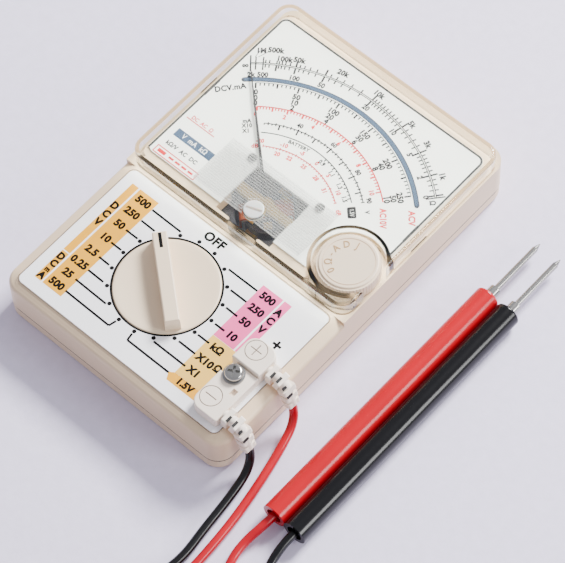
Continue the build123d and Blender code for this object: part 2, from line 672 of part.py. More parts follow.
PIN_R = 0.25
LOWER_JEWEL = (FRAME_Z - 0.4, 5.0)
UPPER_JEWEL = (16.7, 18.9)
with BuildPart() as jewel_screws:
    jewels = ((*LOWER_JEWEL, LOWER_JEWEL[1]), (*UPPER_JEWEL, UPPER_JEWEL[0] + 0.5))
    for low, high, mouth in jewels:
        with BuildSketch(Plane.XY.offset(low)):
            with Locations((PIVOT_X, PIVOT_Y)):
                Circle(JEWEL_R)
        extrude(amount=high - low)
        with BuildSketch(Plane.XY.offset(mouth - 0.5)):
            with Locations((PIVOT_X, PIVOT_Y)):
                Circle(PIN_R + RUN_FIT)
        extrude(amount=0.5, mode=Mode.SUBTRACT)
finish(jewel_screws.part, "jewel_screws")

COIL_Z, COIL_TOP = 5.5, 15.3
FORMER_Z, FORMER_TOP = 6.1, 14.7
REST_TURN = radians(-POINTER_REST)
ACROSS = (cos(REST_TURN), sin(REST_TURN), 0)
ALONG = (-sin(REST_TURN), cos(REST_TURN), 0)
COIL_PLANE = Plane((PIVOT_X, PIVOT_Y, 0), x_dir=ACROSS, z_dir=ALONG)
with BuildPart() as coil_former:
    with BuildSketch(COIL_PLANE):
        with Locations((0, -(FORMER_Z + FORMER_TOP) / 2)):
            RectangleRounded(15.4, FORMER_TOP - FORMER_Z, 0.6)
            RectangleRounded(14.6, FORMER_TOP - FORMER_Z - 0.8, 0.3, mode=Mode.SUBTRACT)
    extrude(amount=2.2, both=True)
finish(coil_former.part, "coil_former")

with BuildPart() as coil_winding:
    with BuildSketch(COIL_PLANE):
        with Locations((0, -(FORMER_Z + FORMER_TOP) / 2)):
            RectangleRounded(16.8, COIL_TOP - COIL_Z, 1.0)
            RectangleRounded(15.4, FORMER_TOP - FORMER_Z, 0.6, mode=Mode.SUBTRACT)
    extrude(amount=2.0, both=True)
finish(coil_winding.part, "coil_winding")

with BuildPart() as pivot_staffs:
    for low, high in ((LOWER_JEWEL[1] - 0.4, COIL_Z), (COIL_TOP, UPPER_JEWEL[0] + 0.4)):
        with BuildSketch(Plane.XY.offset(low)):
            with Locations((PIVOT_X, PIVOT_Y)):
                Circle(PIN_R)
        extrude(amount=high - low)
finish(pivot_staffs.part, "pivot_staffs")

POINTER_Z = COIL_TOP
POINTER_T = 0.35
POINTER_HIGH = 20.6
CRANK_R = (4.4, 7.4)
SIDE_PLANE = Plane((PIVOT_X, PIVOT_Y, 0), x_dir=ALONG, z_dir=ACROSS)
PLAN_PLANE = Plane((PIVOT_X, PIVOT_Y, POINTER_Z - 1.0), x_dir=ACROSS, z_dir=(0, 0, 1))
with BuildPart() as pointer:
    # profile of the cranked arm, seen from the side
    with BuildSketch(SIDE_PLANE):
        with BuildLine():
            Polyline(
                (-7.0, POINTER_Z),
                (CRANK_R[0], POINTER_Z),
                (CRANK_R[1], POINTER_HIGH),
                (POINTER_TIP, POINTER_HIGH),
                (POINTER_TIP, POINTER_HIGH + POINTER_T),
                (CRANK_R[1] - 0.3, POINTER_HIGH + POINTER_T),
                (CRANK_R[0] - 0.3, POINTER_Z + POINTER_T),
                (-7.0, POINTER_Z + POINTER_T),
                close=True,
            )
        make_face()
    extrude(amount=3.0, both=True)
    # plan outline that narrows to the tip
    with BuildSketch(PLAN_PLANE):
        with BuildLine():
            Polyline((-0.6, 0), (-0.17, POINTER_TIP), (0.17, POINTER_TIP), (0.6, 0), close=True)
        make_face()
        Circle(1.9)
        with Locations((0, -3.5)):
            Rectangle(1.0, 7.0)
        Circle(PIN_R, mode=Mode.SUBTRACT)
    extrude(amount=10.0, mode=Mode.INTERSECT)
finish(pointer.part, "pointer")

with BuildPart() as pointer_weights:
    with BuildSketch(PLAN_PLANE.offset(1.0 + POINTER_T)):
        with Locations((0, -6.2)):
            Rectangle(2.6, 1.0)
    extrude(amount=0.7)
finish(pointer_weights.part, "pointer_weights")

HAIR_TURNS = 3
HAIR_STEP = 0.42
with BuildPart() as hairsprings:
    for height in (COIL_TOP + POINTER_T + 0.35, COIL_Z - 0.3):
        with BuildSketch(Plane.XY.offset(height)):
            with Locations((PIVOT_X, PIVOT_Y)):
                Circle(1.0)
                Circle(PIN_R, mode=Mode.SUBTRACT)
            with BuildLine() as spiral:
                for half in range(2 * HAIR_TURNS):
                    radius = 0.95 + HAIR_STEP * (half + 0.5) / 2
                    shift = HAIR_STEP / 4 * (1 if half % 2 else -1)
                    CenterArc((PIVOT_X + shift, PIVOT_Y), radius, 180 * (half % 2), 180)
            trace(line_width=0.14)
        extrude(amount=0.3)
finish(hairsprings.part, "hairsprings")

LEVER_Z, LEVER_T = BRIDGE_Z + BRIDGE_T + 0.1, 0.4
with BuildPart() as zero_lever:
    with BuildSketch(Plane.XY.offset(LEVER_Z)):
        with Locations((PIVOT_X, PIVOT_Y)):
            Circle(2.2)
        with Locations((PIVOT_X, (PIVOT_Y + ZERO_Y) / 2 - 1.4)):
            Rectangle(2.4, PIVOT_Y - ZERO_Y + 1.6)
        with Locations((PIVOT_X, PIVOT_Y)):
            Circle(JEWEL_R + RUN_FIT, mode=Mode.SUBTRACT)
        with Locations((PIVOT_X, ZERO_Y - 0.9)):
            SlotOverall(2.2, 1.0, rotation=90, mode=Mode.SUBTRACT)
    extrude(amount=LEVER_T)
    with BuildSketch(Plane.XY.offset(LEVER_Z)):
        with Locations((PIVOT_X, PIVOT_Y - 3.6)):
            Rectangle(0.9, 0.4)
    extrude(amount=LEVER_Z - COIL_TOP - POINTER_T - 0.5, dir=(0, 0, -1))
finish(zero_lever.part, "zero_lever")

# ---------------------------------------------------------------- ohm adjusting wheel
WHEEL_Z = PANEL_Z + 0.3
WHEEL_TOP = 22.5
TEETH = 60
with BuildPart() as ohm_adjust_wheel:
    with BuildSketch(Plane.XY.offset(WHEEL_Z)):
        with Locations((WHEEL_X, WHEEL_Y)):
            Circle(WHEEL_R)
    extrude(amount=WHEEL_TOP - 0.5 - WHEEL_Z)
    with BuildSketch(Plane.XY.offset(WHEEL_Z)):
        with Locations((WHEEL_X, WHEEL_Y)):
            with PolarLocations(WHEEL_R + 0.12, TEETH):
                Circle(0.3)
    extrude(amount=WHEEL_TOP - WHEEL_Z, mode=Mode.SUBTRACT)
    with BuildSketch(Plane.XY.offset(WHEEL_TOP - 0.5)):
        with Locations((WHEEL_X, WHEEL_Y)):
            Circle(WHEEL_R - 0.7)
    extrude(amount=0.5)
    fillet(ohm_adjust_wheel.faces().sort_by(Axis.Z)[-1].edges(), 0.4)
    with BuildSketch(Plane.XY.offset(WHEEL_TOP - 0.2)):
        with Locations((WHEEL_X, WHEEL_Y)):
            Circle(WHEEL_R - 1.7)
            Circle(WHEEL_R - 2.0, mode=Mode.SUBTRACT)
    extrude(amount=0.3, mode=Mode.SUBTRACT)
    with BuildSketch(Plane.XY.offset(10.4)):
        with Locations((WHEEL_X, WHEEL_Y)):
            Circle(3.0)
    extrude(amount=WHEEL_Z - 10.4)
finish(ohm_adjust_wheel.part, "ohm_adjust_wheel")

with BuildPart() as potentiometer:
    with BuildSketch(Plane.XY.offset(8.8)):
        with Locations((WHEEL_X, WHEEL_Y)):
            Circle(7.6)
    extrude(amount=CEILING_Z - 8.8)
    with BuildSketch(Plane.XY.offset(10.4)):
        with Locations((WHEEL_X, WHEEL_Y)):
            Circle(3.0 + RUN_FIT)
    extrude(amount=8.0, mode=Mode.SUBTRACT)
    with BuildSketch(Plane.XY.offset(8.8)):
        for shift in (-3.0, 0.0, 3.0):
            with Locations((WHEEL_X + shift, WHEEL_Y - 9.0)):
                Rectangle(1.2, 5.0)
    extrude(amount=0.5)
finish(potentiometer.part, "potentiometer")

# ---------------------------------------------------------------- terminals and captive plugs
SOCKET_TOP = PANEL_Z
JACKS = [(JACK_X, PLUS_Y), (JACK_X, SCREW_Y), (JACK_X, MINUS_Y)]
PIN_D = 4.0
with BuildPart() as terminal_sockets:
    with BuildSketch(Plane.XY.offset(BOARD_TOP)):
        with Locations(*JACKS):
            Circle(3.0)
        with Locations(JACKS[0], JACKS[2]):
            Circle(PIN_D / 2, mode=Mode.SUBTRACT)
        with Locations(JACKS[1]):
            Circle(1.5, mode=Mode.SUBTRACT)
    extrude(amount=SOCKET_TOP - BOARD_TOP)
finish(terminal_sockets.part, "terminal_sockets")

BODY_LEFT, BODY_RIGHT = 28.2, 38.7
MINUS_TOP = 20.6
PLUS_TOP = 22.0
with BuildPart() as plug_body_negative:
    with BuildSketch(Plane.XY.offset(PANEL_Z)):
        with Locations(((BODY_LEFT + BODY_RIGHT) / 2, MINUS_Y + 1.4)):
            RectangleRounded(BODY_RIGHT - BODY_LEFT, 13.8, 3.6)
        with Locations(((BODY_LEFT + BODY_RIGHT) / 2, MINUS_Y + 5.4)):
            Rectangle(BODY_RIGHT - BODY_LEFT, 5.8)
        with Locations((BODY_RIGHT - 2.6, MINUS_Y + 1.4)):
            RectangleRounded(5.2, 13.8, 0.8)
    extrude(amount=MINUS_TOP - PANEL_Z)
    with BuildSketch(Plane.XY.offset(PANEL_Z)):
        with Locations(((BODY_LEFT + BODY_RIGHT) / 2 + 1.0, SCREW_Y + 0.9)):
            Rectangle(BODY_RIGHT - BODY_LEFT - 2.0, 5.6)
    extrude(amount=MINUS_TOP - PANEL_Z)
    fillet(plug_body_negative.faces().sort_by(Axis.Z)[-1].edges(), 0.5)
    with BuildSketch(Plane.XY.offset(PANEL_Z)):
        with Locations((JACK_X, SCREW_Y)):
            Circle(1.75)
    extrude(amount=6.0, mode=Mode.SUBTRACT)
    with BuildSketch(Plane.XY.offset(MINUS_TOP - 0.2)):
        with Locations((JACK_X - 0.4, MINUS_Y)):
            Circle(3.5)
            Circle(3.2, mode=Mode.SUBTRACT)
            Rectangle(4.2, 0.35)
    extrude(amount=0.3, mode=Mode.SUBTRACT)
    with BuildSketch(Plane.XY.offset(MINUS_TOP - 1.2)):
        with Locations((BODY_RIGHT - 2.4, MINUS_Y + 5.0)):
            Rectangle(1.8, 2.4)
    extrude(amount=1.5, mode=Mode.SUBTRACT)
    with BuildSketch(Plane.XY.offset(PANEL_Z)):
        with Locations((JACK_X, MINUS_Y)):
            Circle(PIN_D / 2)
    extrude(amount=1.6, mode=Mode.SUBTRACT)
finish(plug_body_negative.part, "plug_body_negative")

with BuildPart() as plug_body_positive:
    with BuildSketch(Plane.XY.offset(PANEL_Z)):
        with Locations(((BODY_LEFT + BODY_RIGHT) / 2, PLUS_Y - 0.9)):
            RectangleRounded(BODY_RIGHT - BODY_LEFT, 9.6, 3.4)
        with Locations(((BODY_LEFT + BODY_RIGHT) / 2, PLUS_Y - 3.7)):
            Rectangle(BODY_RIGHT - BODY_LEFT, 4.0)
    extrude(amount=PLUS_TOP - PANEL_Z)
    fillet(plug_body_positive.faces().sort_by(Axis.Z)[-1].edges(), 0.5)
    with BuildSketch(Plane.XY.offset(PLUS_TOP - 0.2)):
        with Locations((JACK_X, PLUS_Y + 0.2)):
            Circle(3.5)
            Circle(3.2, mode=Mode.SUBTRACT)
            Rectangle(4.2, 0.35)
            Rectangle(0.35, 4.2)
    extrude(amount=0.3, mode=Mode.SUBTRACT)
    with BuildSketch(Plane.XY.offset(PANEL_Z)):
        with Locations((JACK_X, PLUS_Y)):
            Circle(PIN_D / 2)
    extrude(amount=1.6, mode=Mode.SUBTRACT)
finish(plug_body_positive.part, "plug_body_positive")

with BuildPart() as plug_pins:
    with BuildSketch(Plane.XY.offset(BOARD_TOP)):
        with Locations(JACKS[0], JACKS[2]):
            Circle(PIN_D / 2)
    extrude(amount=PANEL_Z - BOARD_TOP + 1.6)
    chamfer(plug_pins.faces().group_by(Axis.Z)[0].edges(), 0.6)
finish(plug_pins.part, "plug_pins")

with BuildPart() as terminal_washer:
    with BuildSketch(Plane.XY.offset(MINUS_TOP)):
        with Locations((JACK_X, SCREW_Y)):
            Circle(3.4)
            Circle(1.6, mode=Mode.SUBTRACT)
    extrude(amount=0.6)
finish(terminal_washer.part, "terminal_washer")

with BuildPart() as terminal_screw:
    with BuildSketch(Plane.XY.offset(MINUS_TOP + 0.6)):
        with Locations((JACK_X, SCREW_Y)):
            Circle(2.9)
    extrude(amount=1.7)
    fillet(terminal_screw.faces().sort_by(Axis.Z)[-1].edges(), 1.1)
    with BuildSketch(Plane.XY.offset(BOARD_TOP + 1.5)):
        with Locations((JACK_X, SCREW_Y)):
            Circle(1.5)
    extrude(amount=MINUS_TOP + 0.6 - BOARD_TOP - 1.5)
    with BuildSketch(Plane.XY.offset(MINUS_TOP + 1.3)):
        with Locations(Location((JACK_X, SCREW_Y, 0), (0, 0, 1), 30)):
            Rectangle(3.6, 0.8)
            Rectangle(0.8, 3.6)
    extrude(amount=2.0, mode=Mode.SUBTRACT)
finish(terminal_screw.part, "terminal_screw")

# ---------------------------------------------------------------- cord guards
GUARD_Z = 19.1
GUARD_BEND = (44.9, GUARD_Z)
GUARD_END = (47.3, 10.2)
GUARD_Y = {"red": PLUS_Y - 1.5, "black": MINUS_Y - 1.5}
GUARD_R = 1.75
RIB_W, RIB_H, RIB_L = 5.4, 3.8, 1.8
RIBS = 5
for colour, y in GUARD_Y.items():
    with BuildPart() as cord_guard:
        with BuildLine() as guard_path:
            FilletPolyline(
                (BODY_RIGHT, y, GUARD_Z),
                (GUARD_BEND[0], y, GUARD_Z),
                (GUARD_END[0], y, GUARD_END[1]),
                radius=3.4,
            )
        path = guard_path.wire()
        with BuildSketch(Plane(path @ 0, x_dir=(0, 1, 0), z_dir=path % 0)):
            Circle(GUARD_R)
        sweep(path=path)
        for rib in range(RIBS):
            along = 0.12 + 0.82 * rib / (RIBS - 1)
            with BuildSketch(Plane(path @ along, x_dir=(0, 1, 0), z_dir=path % along)):
                RectangleRounded(RIB_W - 0.25 * rib, RIB_H - 0.15 * rib, 0.6)
            extrude(amount=RIB_L / 2, both=True)
    finish(cord_guard.part, f"cord_guard_{colour}")

# ---------------------------------------------------------------- test leads
FLOOR = LEAD_D / 2 + 0.05
PROBE_Z = PROBE_D / 2
BORE_DEPTH = 4.0
COIL_SECTION = 1.03 * LEAD_D
COILS = {"red": ((68.0, -118.0), 14.2), "black": ((105.0, -108.0), 15.0)}
ROUTES = {
    "lead_red": [
        (47.3, -37.5, 10.2), (48.3, -37.5, 6.6), (50.0, -40.6, 3.3), (51.2, -45.6, 1.7),
        (53.2, -53.7, FLOOR), (55.4, -64.5, FLOOR), (57.0, -74.9, FLOOR), (57.8, -84.4, FLOOR),
        (58.3, -93.4, FLOOR), (57.4, -101.8, FLOOR), (53.2, -109.5, FLOOR),
    ],
    "lead_red_end": [
        (83.2, -109.6, FLOOR), (80.8, -102.2, FLOOR), (75.4, -96.4, FLOOR), (68.8, -91.6, FLOOR),
        (65.0, -84.5, FLOOR), (64.2, -77.5, 2.1), (65.3, -71.2, 3.7), (RED_X, -66.6, PROBE_Z),
        (RED_X, PROBE_REAR + BORE_DEPTH, PROBE_Z),
    ],
    "lead_black": [
        (47.3, -56.5, 10.2), (48.3, -56.5, 6.6), (49.7, -59.7, 3.3), (50.5, -64.6, 1.7),
        (51.5, -72.6, FLOOR), (52.4, -82.0, FLOOR), (53.8, -91.5, FLOOR), (52.8, -100.0, FLOOR),
        (48.2, -108.4, FLOOR), (45.4, -118.5, FLOOR), (46.8, -130.0, FLOOR), (54.0, -140.6, FLOOR),
        (66.0, -146.8, FLOOR), (80.4, -147.2, FLOOR), (94.0, -142.4, FLOOR), (106.4, -133.0, FLOOR),
        (115.2, -122.4, FLOOR),
    ],
    "lead_black_end": [
        (99.5, -91.0, FLOOR), (92.4, -90.9, FLOOR), (84.6, -89.2, FLOOR), (77.6, -84.8, FLOOR),
        (74.6, -78.4, 2.1), (73.8, -71.8, 3.7), (BLACK_X, -66.9, PROBE_Z),
        (BLACK_X, PROBE_REAR - 0.3 + BORE_DEPTH, PROBE_Z),
    ],
}


def corner_radii(route):
    """Radius of each corner: 0.45 of the shorter run over the tangent of half the turn."""
    points = [Vector(*point) for point in route]
    radii = []
    for before, corner, after in zip(points, points[1:], points[2:]):
        run_in = corner - before
        run_out = after - corner
        half_turn = radians(run_in.get_angle(run_out)) / 2
        radii.append(0.45 * min(run_in.length, run_out.length) / tan(half_turn))
    return radii


for label, route in ROUTES.items():
    radii = corner_radii(route)
    with BuildPart() as lead:
        with BuildLine() as lead_line:
            FilletPolyline(*route, radius=radii)
        path = lead_line.wire()
        with BuildSketch(Plane(path @ 0, z_dir=path % 0)):
            Circle(LEAD_D / 2)
        sweep(path=path)
    straight_volume = pi * (LEAD_D / 2) ** 2 * path.length
    print(label, "radii", [round(radius, 1) for radius in radii])
    ratio = lead.part.volume / straight_volume
    print(label, "length", round(path.length, 1), "volume ratio", round(ratio, 3))
    finish(lead.part, label)

for colour, (centre, radius) in COILS.items():
    with BuildPart() as lead_coil:
        with BuildSketch(Plane.XZ):
            with BuildLine():
                Polyline(
                    (radius - COIL_SECTION, 0),
                    (radius + COIL_SECTION, 0),
                    (radius + COIL_SECTION, 2 * COIL_SECTION),
                    (radius + COIL_SECTION / 2, 2.95 * COIL_SECTION),
                    (radius - COIL_SECTION / 2, 2.95 * COIL_SECTION),
                    (radius - COIL_SECTION, 2 * COIL_SECTION),
                    close=True,
                )
            make_face()
        revolve(axis=Axis.Z)
    lead_coil.part.position = (centre[0], centre[1], 0)
    finish(lead_coil.part, f"lead_coil_{colour}")

# ---------------------------------------------------------------- probes
for colour, x, rear in (("red", RED_X, PROBE_REAR), ("black", BLACK_X, PROBE_REAR - 0.3)):
    probe_axis = Plane((x, rear, PROBE_Z), x_dir=(1, 0, 0), z_dir=(0, 1, 0))
    length = PROBE_FRONT - PROBE_REAR
    with BuildPart() as probe_barrel:
        with BuildSketch(probe_axis):
            Circle(PROBE_D / 2)
        extrude(amount=length)
        fillet(probe_barrel.faces().sort_by(Axis.Y)[-1].edges(), 0.8)
        with BuildSketch(probe_axis):
            Circle(2.6)
        extrude(amount=BORE_DEPTH, mode=Mode.SUBTRACT)
    finish(probe_barrel.part, f"probe_barrel_{colour}")

with BuildPart() as probe_tips:
    for x, rear in ((RED_X, PROBE_REAR), (BLACK_X, PROBE_REAR - 0.3)):
        front = rear + PROBE_FRONT - PROBE_REAR
        tip_plane = Plane((x, front, PROBE_Z), x_dir=(1, 0, 0), z_dir=(0, 1, 0))
        with BuildSketch(tip_plane):
            Circle(1.9)
        extrude(amount=3.2)
        with BuildSketch(tip_plane.offset(3.2)):
            Circle(1.0)
        extrude(amount=TIP_END - PROBE_FRONT - 3.2 - 2.4)
        with BuildSketch(tip_plane.offset(TIP_END - PROBE_FRONT - 2.4)):
            Circle(1.0)
        with BuildSketch(tip_plane.offset(TIP_END - PROBE_FRONT)):
            Circle(0.15)
        loft()
finish(probe_tips.part, "probe_tips")
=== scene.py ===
"""Looks for the pocket analogue multimeter: printing, materials, leads, light and camera.

Everything is in metres in the meter's own frame; MM turns millimetres into metres.
"""
import json
import math

import bmesh
import bpy
from mathutils import Matrix, Vector


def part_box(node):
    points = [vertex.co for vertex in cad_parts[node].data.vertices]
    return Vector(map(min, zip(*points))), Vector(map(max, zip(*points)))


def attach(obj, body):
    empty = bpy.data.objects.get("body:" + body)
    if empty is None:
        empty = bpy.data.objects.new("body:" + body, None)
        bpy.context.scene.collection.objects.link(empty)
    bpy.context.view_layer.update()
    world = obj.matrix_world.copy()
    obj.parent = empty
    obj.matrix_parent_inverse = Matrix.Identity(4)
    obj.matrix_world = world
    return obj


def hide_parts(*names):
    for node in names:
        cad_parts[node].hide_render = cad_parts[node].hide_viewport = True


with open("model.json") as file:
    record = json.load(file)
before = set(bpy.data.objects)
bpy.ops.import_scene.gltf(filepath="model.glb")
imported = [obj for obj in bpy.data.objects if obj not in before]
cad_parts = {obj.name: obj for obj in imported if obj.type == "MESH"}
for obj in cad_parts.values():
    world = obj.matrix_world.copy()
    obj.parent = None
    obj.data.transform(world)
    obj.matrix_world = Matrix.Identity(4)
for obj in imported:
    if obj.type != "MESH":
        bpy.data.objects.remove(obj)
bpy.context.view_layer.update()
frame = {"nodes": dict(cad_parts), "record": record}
nodes = frame["nodes"]
MM = 0.001

# ---------------------------------------------------------------- camera
AZIMUTH, ELEVATION, ROLL = math.radians(44.876), math.radians(59.785), math.radians(-3.564)
TARGET = Vector((13.742, -4.471, 0)) * MM
DISTANCE = 964.575 * MM

back = Vector((
    math.sin(AZIMUTH) * math.cos(ELEVATION),
    -math.cos(AZIMUTH) * math.cos(ELEVATION),
    math.sin(ELEVATION),
))
right = Vector((math.cos(AZIMUTH), math.sin(AZIMUTH), 0))
up = back.cross(right)
right, up = (
    right * math.cos(ROLL) + up * math.sin(ROLL),
    up * math.cos(ROLL) - right * math.sin(ROLL),
)
camera = bpy.data.objects.new("camera", bpy.data.cameras.new("camera"))
camera.data.sensor_width = 36
camera.data.lens = 202.97
camera.data.clip_start = 0.05
camera_turn = Matrix((right, up, back)).transposed().to_4x4()
camera.matrix_world = Matrix.Translation(TARGET + back * DISTANCE) @ camera_turn
bpy.context.collection.objects.link(camera)
bpy.context.scene.camera = camera


# ---------------------------------------------------------------- materials
def linear(colour):
    """sRGB 0-255 to linear RGBA."""
    parts = [c / 255 for c in colour]
    parts = [c / 12.92 if c <= 0.04045 else ((c + 0.055) / 1.055) ** 2.4 for c in parts]
    return (*parts, 1.0)


def ramp(tree, source, low, high):
    """A two-colour ramp driven by a texture's factor."""
    node = tree.nodes.new("ShaderNodeValToRGB")
    node.color_ramp.elements[0].position = 0.3
    node.color_ramp.elements[1].position = 0.7
    node.color_ramp.elements[0].color = low
    node.color_ramp.elements[1].color = high
    tree.links.new(source, node.inputs["Fac"])
    return node.outputs["Color"]


def noise(tree, scale, detail=3.0, stretch=(1, 1, 1)):
    """Noise in the piece's own coordinates; scale is per metre."""
    place = tree.nodes.new("ShaderNodeTexCoord")
    mapping = tree.nodes.new("ShaderNodeMapping")
    mapping.inputs["Scale"].default_value = stretch
    texture = tree.nodes.new("ShaderNodeTexNoise")
    texture.inputs["Scale"].default_value = scale
    texture.inputs["Detail"].default_value = detail
    tree.links.new(place.outputs["Object"], mapping.inputs["Vector"])
    tree.links.new(mapping.outputs["Vector"], texture.inputs["Vector"])
    return texture.outputs["Fac"]


def surface(
    name, colour, rough=0.4, vary=0.05, patch=60, grain=1500, relief=0.02, stretch=(1, 1, 1), **sockets
):
    """A moulded or metal surface: mottled colour, uneven gloss and a fine grain in relief (mm).

    patch and grain are the scales, per metre, of the colour's patches and of the grain.
    """
    made = bpy.data.materials.new(name)
    made.use_nodes = True
    tree = made.node_tree
    shader = tree.nodes["Principled BSDF"]
    base = linear(colour)
    low = tuple(c * (1 - vary) for c in base[:3]) + (1.0,)
    high = tuple(min(1.0, c * (1 + vary)) for c in base[:3]) + (1.0,)
    tree.links.new(ramp(tree, noise(tree, patch, stretch=stretch), low, high), shader.inputs["Base Color"])
    fine = noise(tree, grain, detail=4.0, stretch=stretch)
    gloss = tree.nodes.new("ShaderNodeMapRange")
    gloss.inputs["To Min"].default_value = rough * 0.85
    gloss.inputs["To Max"].default_value = rough * 1.15
    tree.links.new(fine, gloss.inputs["Value"])
    tree.links.new(gloss.outputs["Result"], shader.inputs["Roughness"])
    bump = tree.nodes.new("ShaderNodeBump")
    bump.inputs["Strength"].default_value = 0.7
    bump.inputs["Distance"].default_value = relief * MM
    tree.links.new(fine, bump.inputs["Height"])
    tree.links.new(bump.outputs["Normal"], shader.inputs["Normal"])
    for socket, value in sockets.items():
        shader.inputs[socket.replace("_", " ")].default_value = value
    return made


def ribbed_painted_light(name, low, high, pitch, alpha):
    """A translucent moulded strip with fine ribs along X, striped dark and light as painted shade and
    highlight of the ribs; pitch in mm.
    """
    made = surface(name, (200, 200, 200), 0.22, 0.05, relief=0.01)
    tree = made.node_tree
    shader = tree.nodes["Principled BSDF"]
    place = tree.nodes.new("ShaderNodeTexCoord")
    wave = tree.nodes.new("ShaderNodeTexWave")
    wave.bands_direction = "Y"
    wave.inputs["Scale"].default_value = math.pi / 10 / (pitch * MM)
    tree.links.new(place.outputs["Object"], wave.inputs["Vector"])
    tree.links.new(ramp(tree, wave.outputs["Fac"], linear(low), linear(high)), shader.inputs["Base Color"])
    shader.inputs["Alpha"].default_value = alpha
    return made


def clear(name, tint, rough=0.02):
    """Clear moulded plastic that lets lamps through."""
    made = bpy.data.materials.new(name)
    made.use_nodes = True
    tree = made.node_tree
    shader = tree.nodes["Principled BSDF"]
    output = tree.nodes["Material Output"]
    base = linear(tint)
    low = tuple(c * 0.97 for c in base[:3]) + (1.0,)
    tree.links.new(ramp(tree, noise(tree, 40), low, base), shader.inputs["Base Color"])
    shader.inputs["Transmission Weight"].default_value = 1.0
    shader.inputs["Roughness"].default_value = rough
    shader.inputs["IOR"].default_value = 1.49
    bump = tree.nodes.new("ShaderNodeBump")
    tree.links.new(noise(tree, 90, detail=1.0), bump.inputs["Height"])
    bump.inputs["Distance"].default_value = 0.01 * MM
    tree.links.new(bump.outputs["Normal"], shader.inputs["Normal"])
    path = tree.nodes.new("ShaderNodeLightPath")
    open_shader = tree.nodes.new("ShaderNodeBsdfTransparent")
    open_shader.inputs["Color"].default_value = tuple(c * 0.96 for c in base[:3]) + (1.0,)
    mix = tree.nodes.new("ShaderNodeMixShader")
    tree.links.new(path.outputs["Is Shadow Ray"], mix.inputs["Fac"])
    tree.links.new(shader.outputs[0], mix.inputs[1])
    tree.links.new(open_shader.outputs[0], mix.inputs[2])
    tree.links.new(mix.outputs[0], output.inputs["Surface"])
    return made


LOOKS = {
    "case_plastic": surface("case_cream", (226, 200, 166), 0.36, 0.03, 45, 2600, 0.025),
    "clear_plastic": clear("cover_clear", (252, 253, 250)),
    # lens stripes: painted shade and highlight of the ribs
    "lens_plastic": ribbed_painted_light("lens_ribbed_painted_light", (44, 46, 52), (226, 226, 226), 0.85, 0.2),
    "dial_enamel": surface("dial_white", (251, 252, 247), 0.45, 0.015, 60, 3000, 0.006),
    "label_enamel": surface("label_white", (250, 249, 251), 0.42, 0.015, 60, 2400, 0.01),
    "knob_plastic": surface("knob_cream", (234, 212, 182), 0.34, 0.02, 70, 2600, 0.015),
    "white_plastic": surface("wheel_cream", (236, 214, 186), 0.36, 0.02, 70, 2600, 0.015),
    "plug_plastic": surface("plug_cream", (244, 230, 214), 0.32, 0.025, 90, 2600, 0.015),
    "plug_rubber": surface("guard_cream", (243, 230, 215), 0.45, 0.03, 120, 2200, 0.03),
    "red_pvc": surface(
        "lead_red_vinyl", (174, 0, 26), 0.24, 0.08, 160, 1400, 0.006, Specular_IOR_Level=0.4
    ),
    "black_pvc": surface(
        "lead_black_vinyl", (4, 4, 6), 0.26, 0.15, 160, 1400, 0.006, Specular_IOR_Level=0.4
    ),
    "red_plastic": surface(
        "barrel_red", (172, 0, 22), 0.22, 0.06, 50, 1200, 0.004, Specular_IOR_Level=0.4
    ),
    "black_plastic": surface(
        "barrel_black", (4, 4, 6), 0.2, 0.15, 50, 1200, 0.004, Specular_IOR_Level=0.4
    ),
    "nickel": surface("nickel", (172, 171, 166), 0.2, 0.05, 200, 1500, 0.003, Metallic=1.0),
    "steel": surface("zinc_steel", (150, 150, 150), 0.34, 0.08, 200, 3500, 0.012, Metallic=1.0),
    "brass": surface("brass", (196, 160, 84), 0.32, 0.1, 200, 3500, 0.012, Metallic=1.0),
    "magnet_steel": surface("magnet_steel", (74, 74, 78), 0.42, 0.15, 200, 2500, 0.02, Metallic=1.0),
    "aluminium": surface("aluminium", (196, 197, 199), 0.35, 0.06, 200, 3500, 0.01, Metallic=1.0),
    "copper_wire": surface(
        "coil_copper", (176, 88, 50), 0.35, 0.2, 900, 6000, 0.03, (1, 1, 8), Metallic=0.8
    ),
    "pointer_paint": surface("pointer_black", (22, 20, 22), 0.5, 0.15, 300, 3000, 0.008),
    "clear_screw": surface(
        "screw_milky", (226, 222, 216), 0.22, 0.06, 120, 1500, 0.02, Subsurface_Weight=0.2
    ),
    "board_laminate": surface("board_brown", (176, 140, 78), 0.5, 0.12, 120, 3500, 0.02),
    "resistor_lacquer": surface("resistor_mauve", (172, 120, 168), 0.35, 0.1, 300, 2500, 0.02),
    "diode_glass": surface("diode_amber", (180, 84, 44), 0.2, 0.1, 300, 2500, 0.02, Coat_Weight=0.5),
    "capacitor_resin": surface("capacitor_green", (84, 138, 66), 0.3, 0.1, 200, 2500, 0.03),
    "fuse_glass": clear("fuse_clear", (240, 246, 246)),
    "cell_jacket": surface("cell_blue", (60, 70, 104), 0.28, 0.1, 60, 2500, 0.01, Metallic=0.3),
}
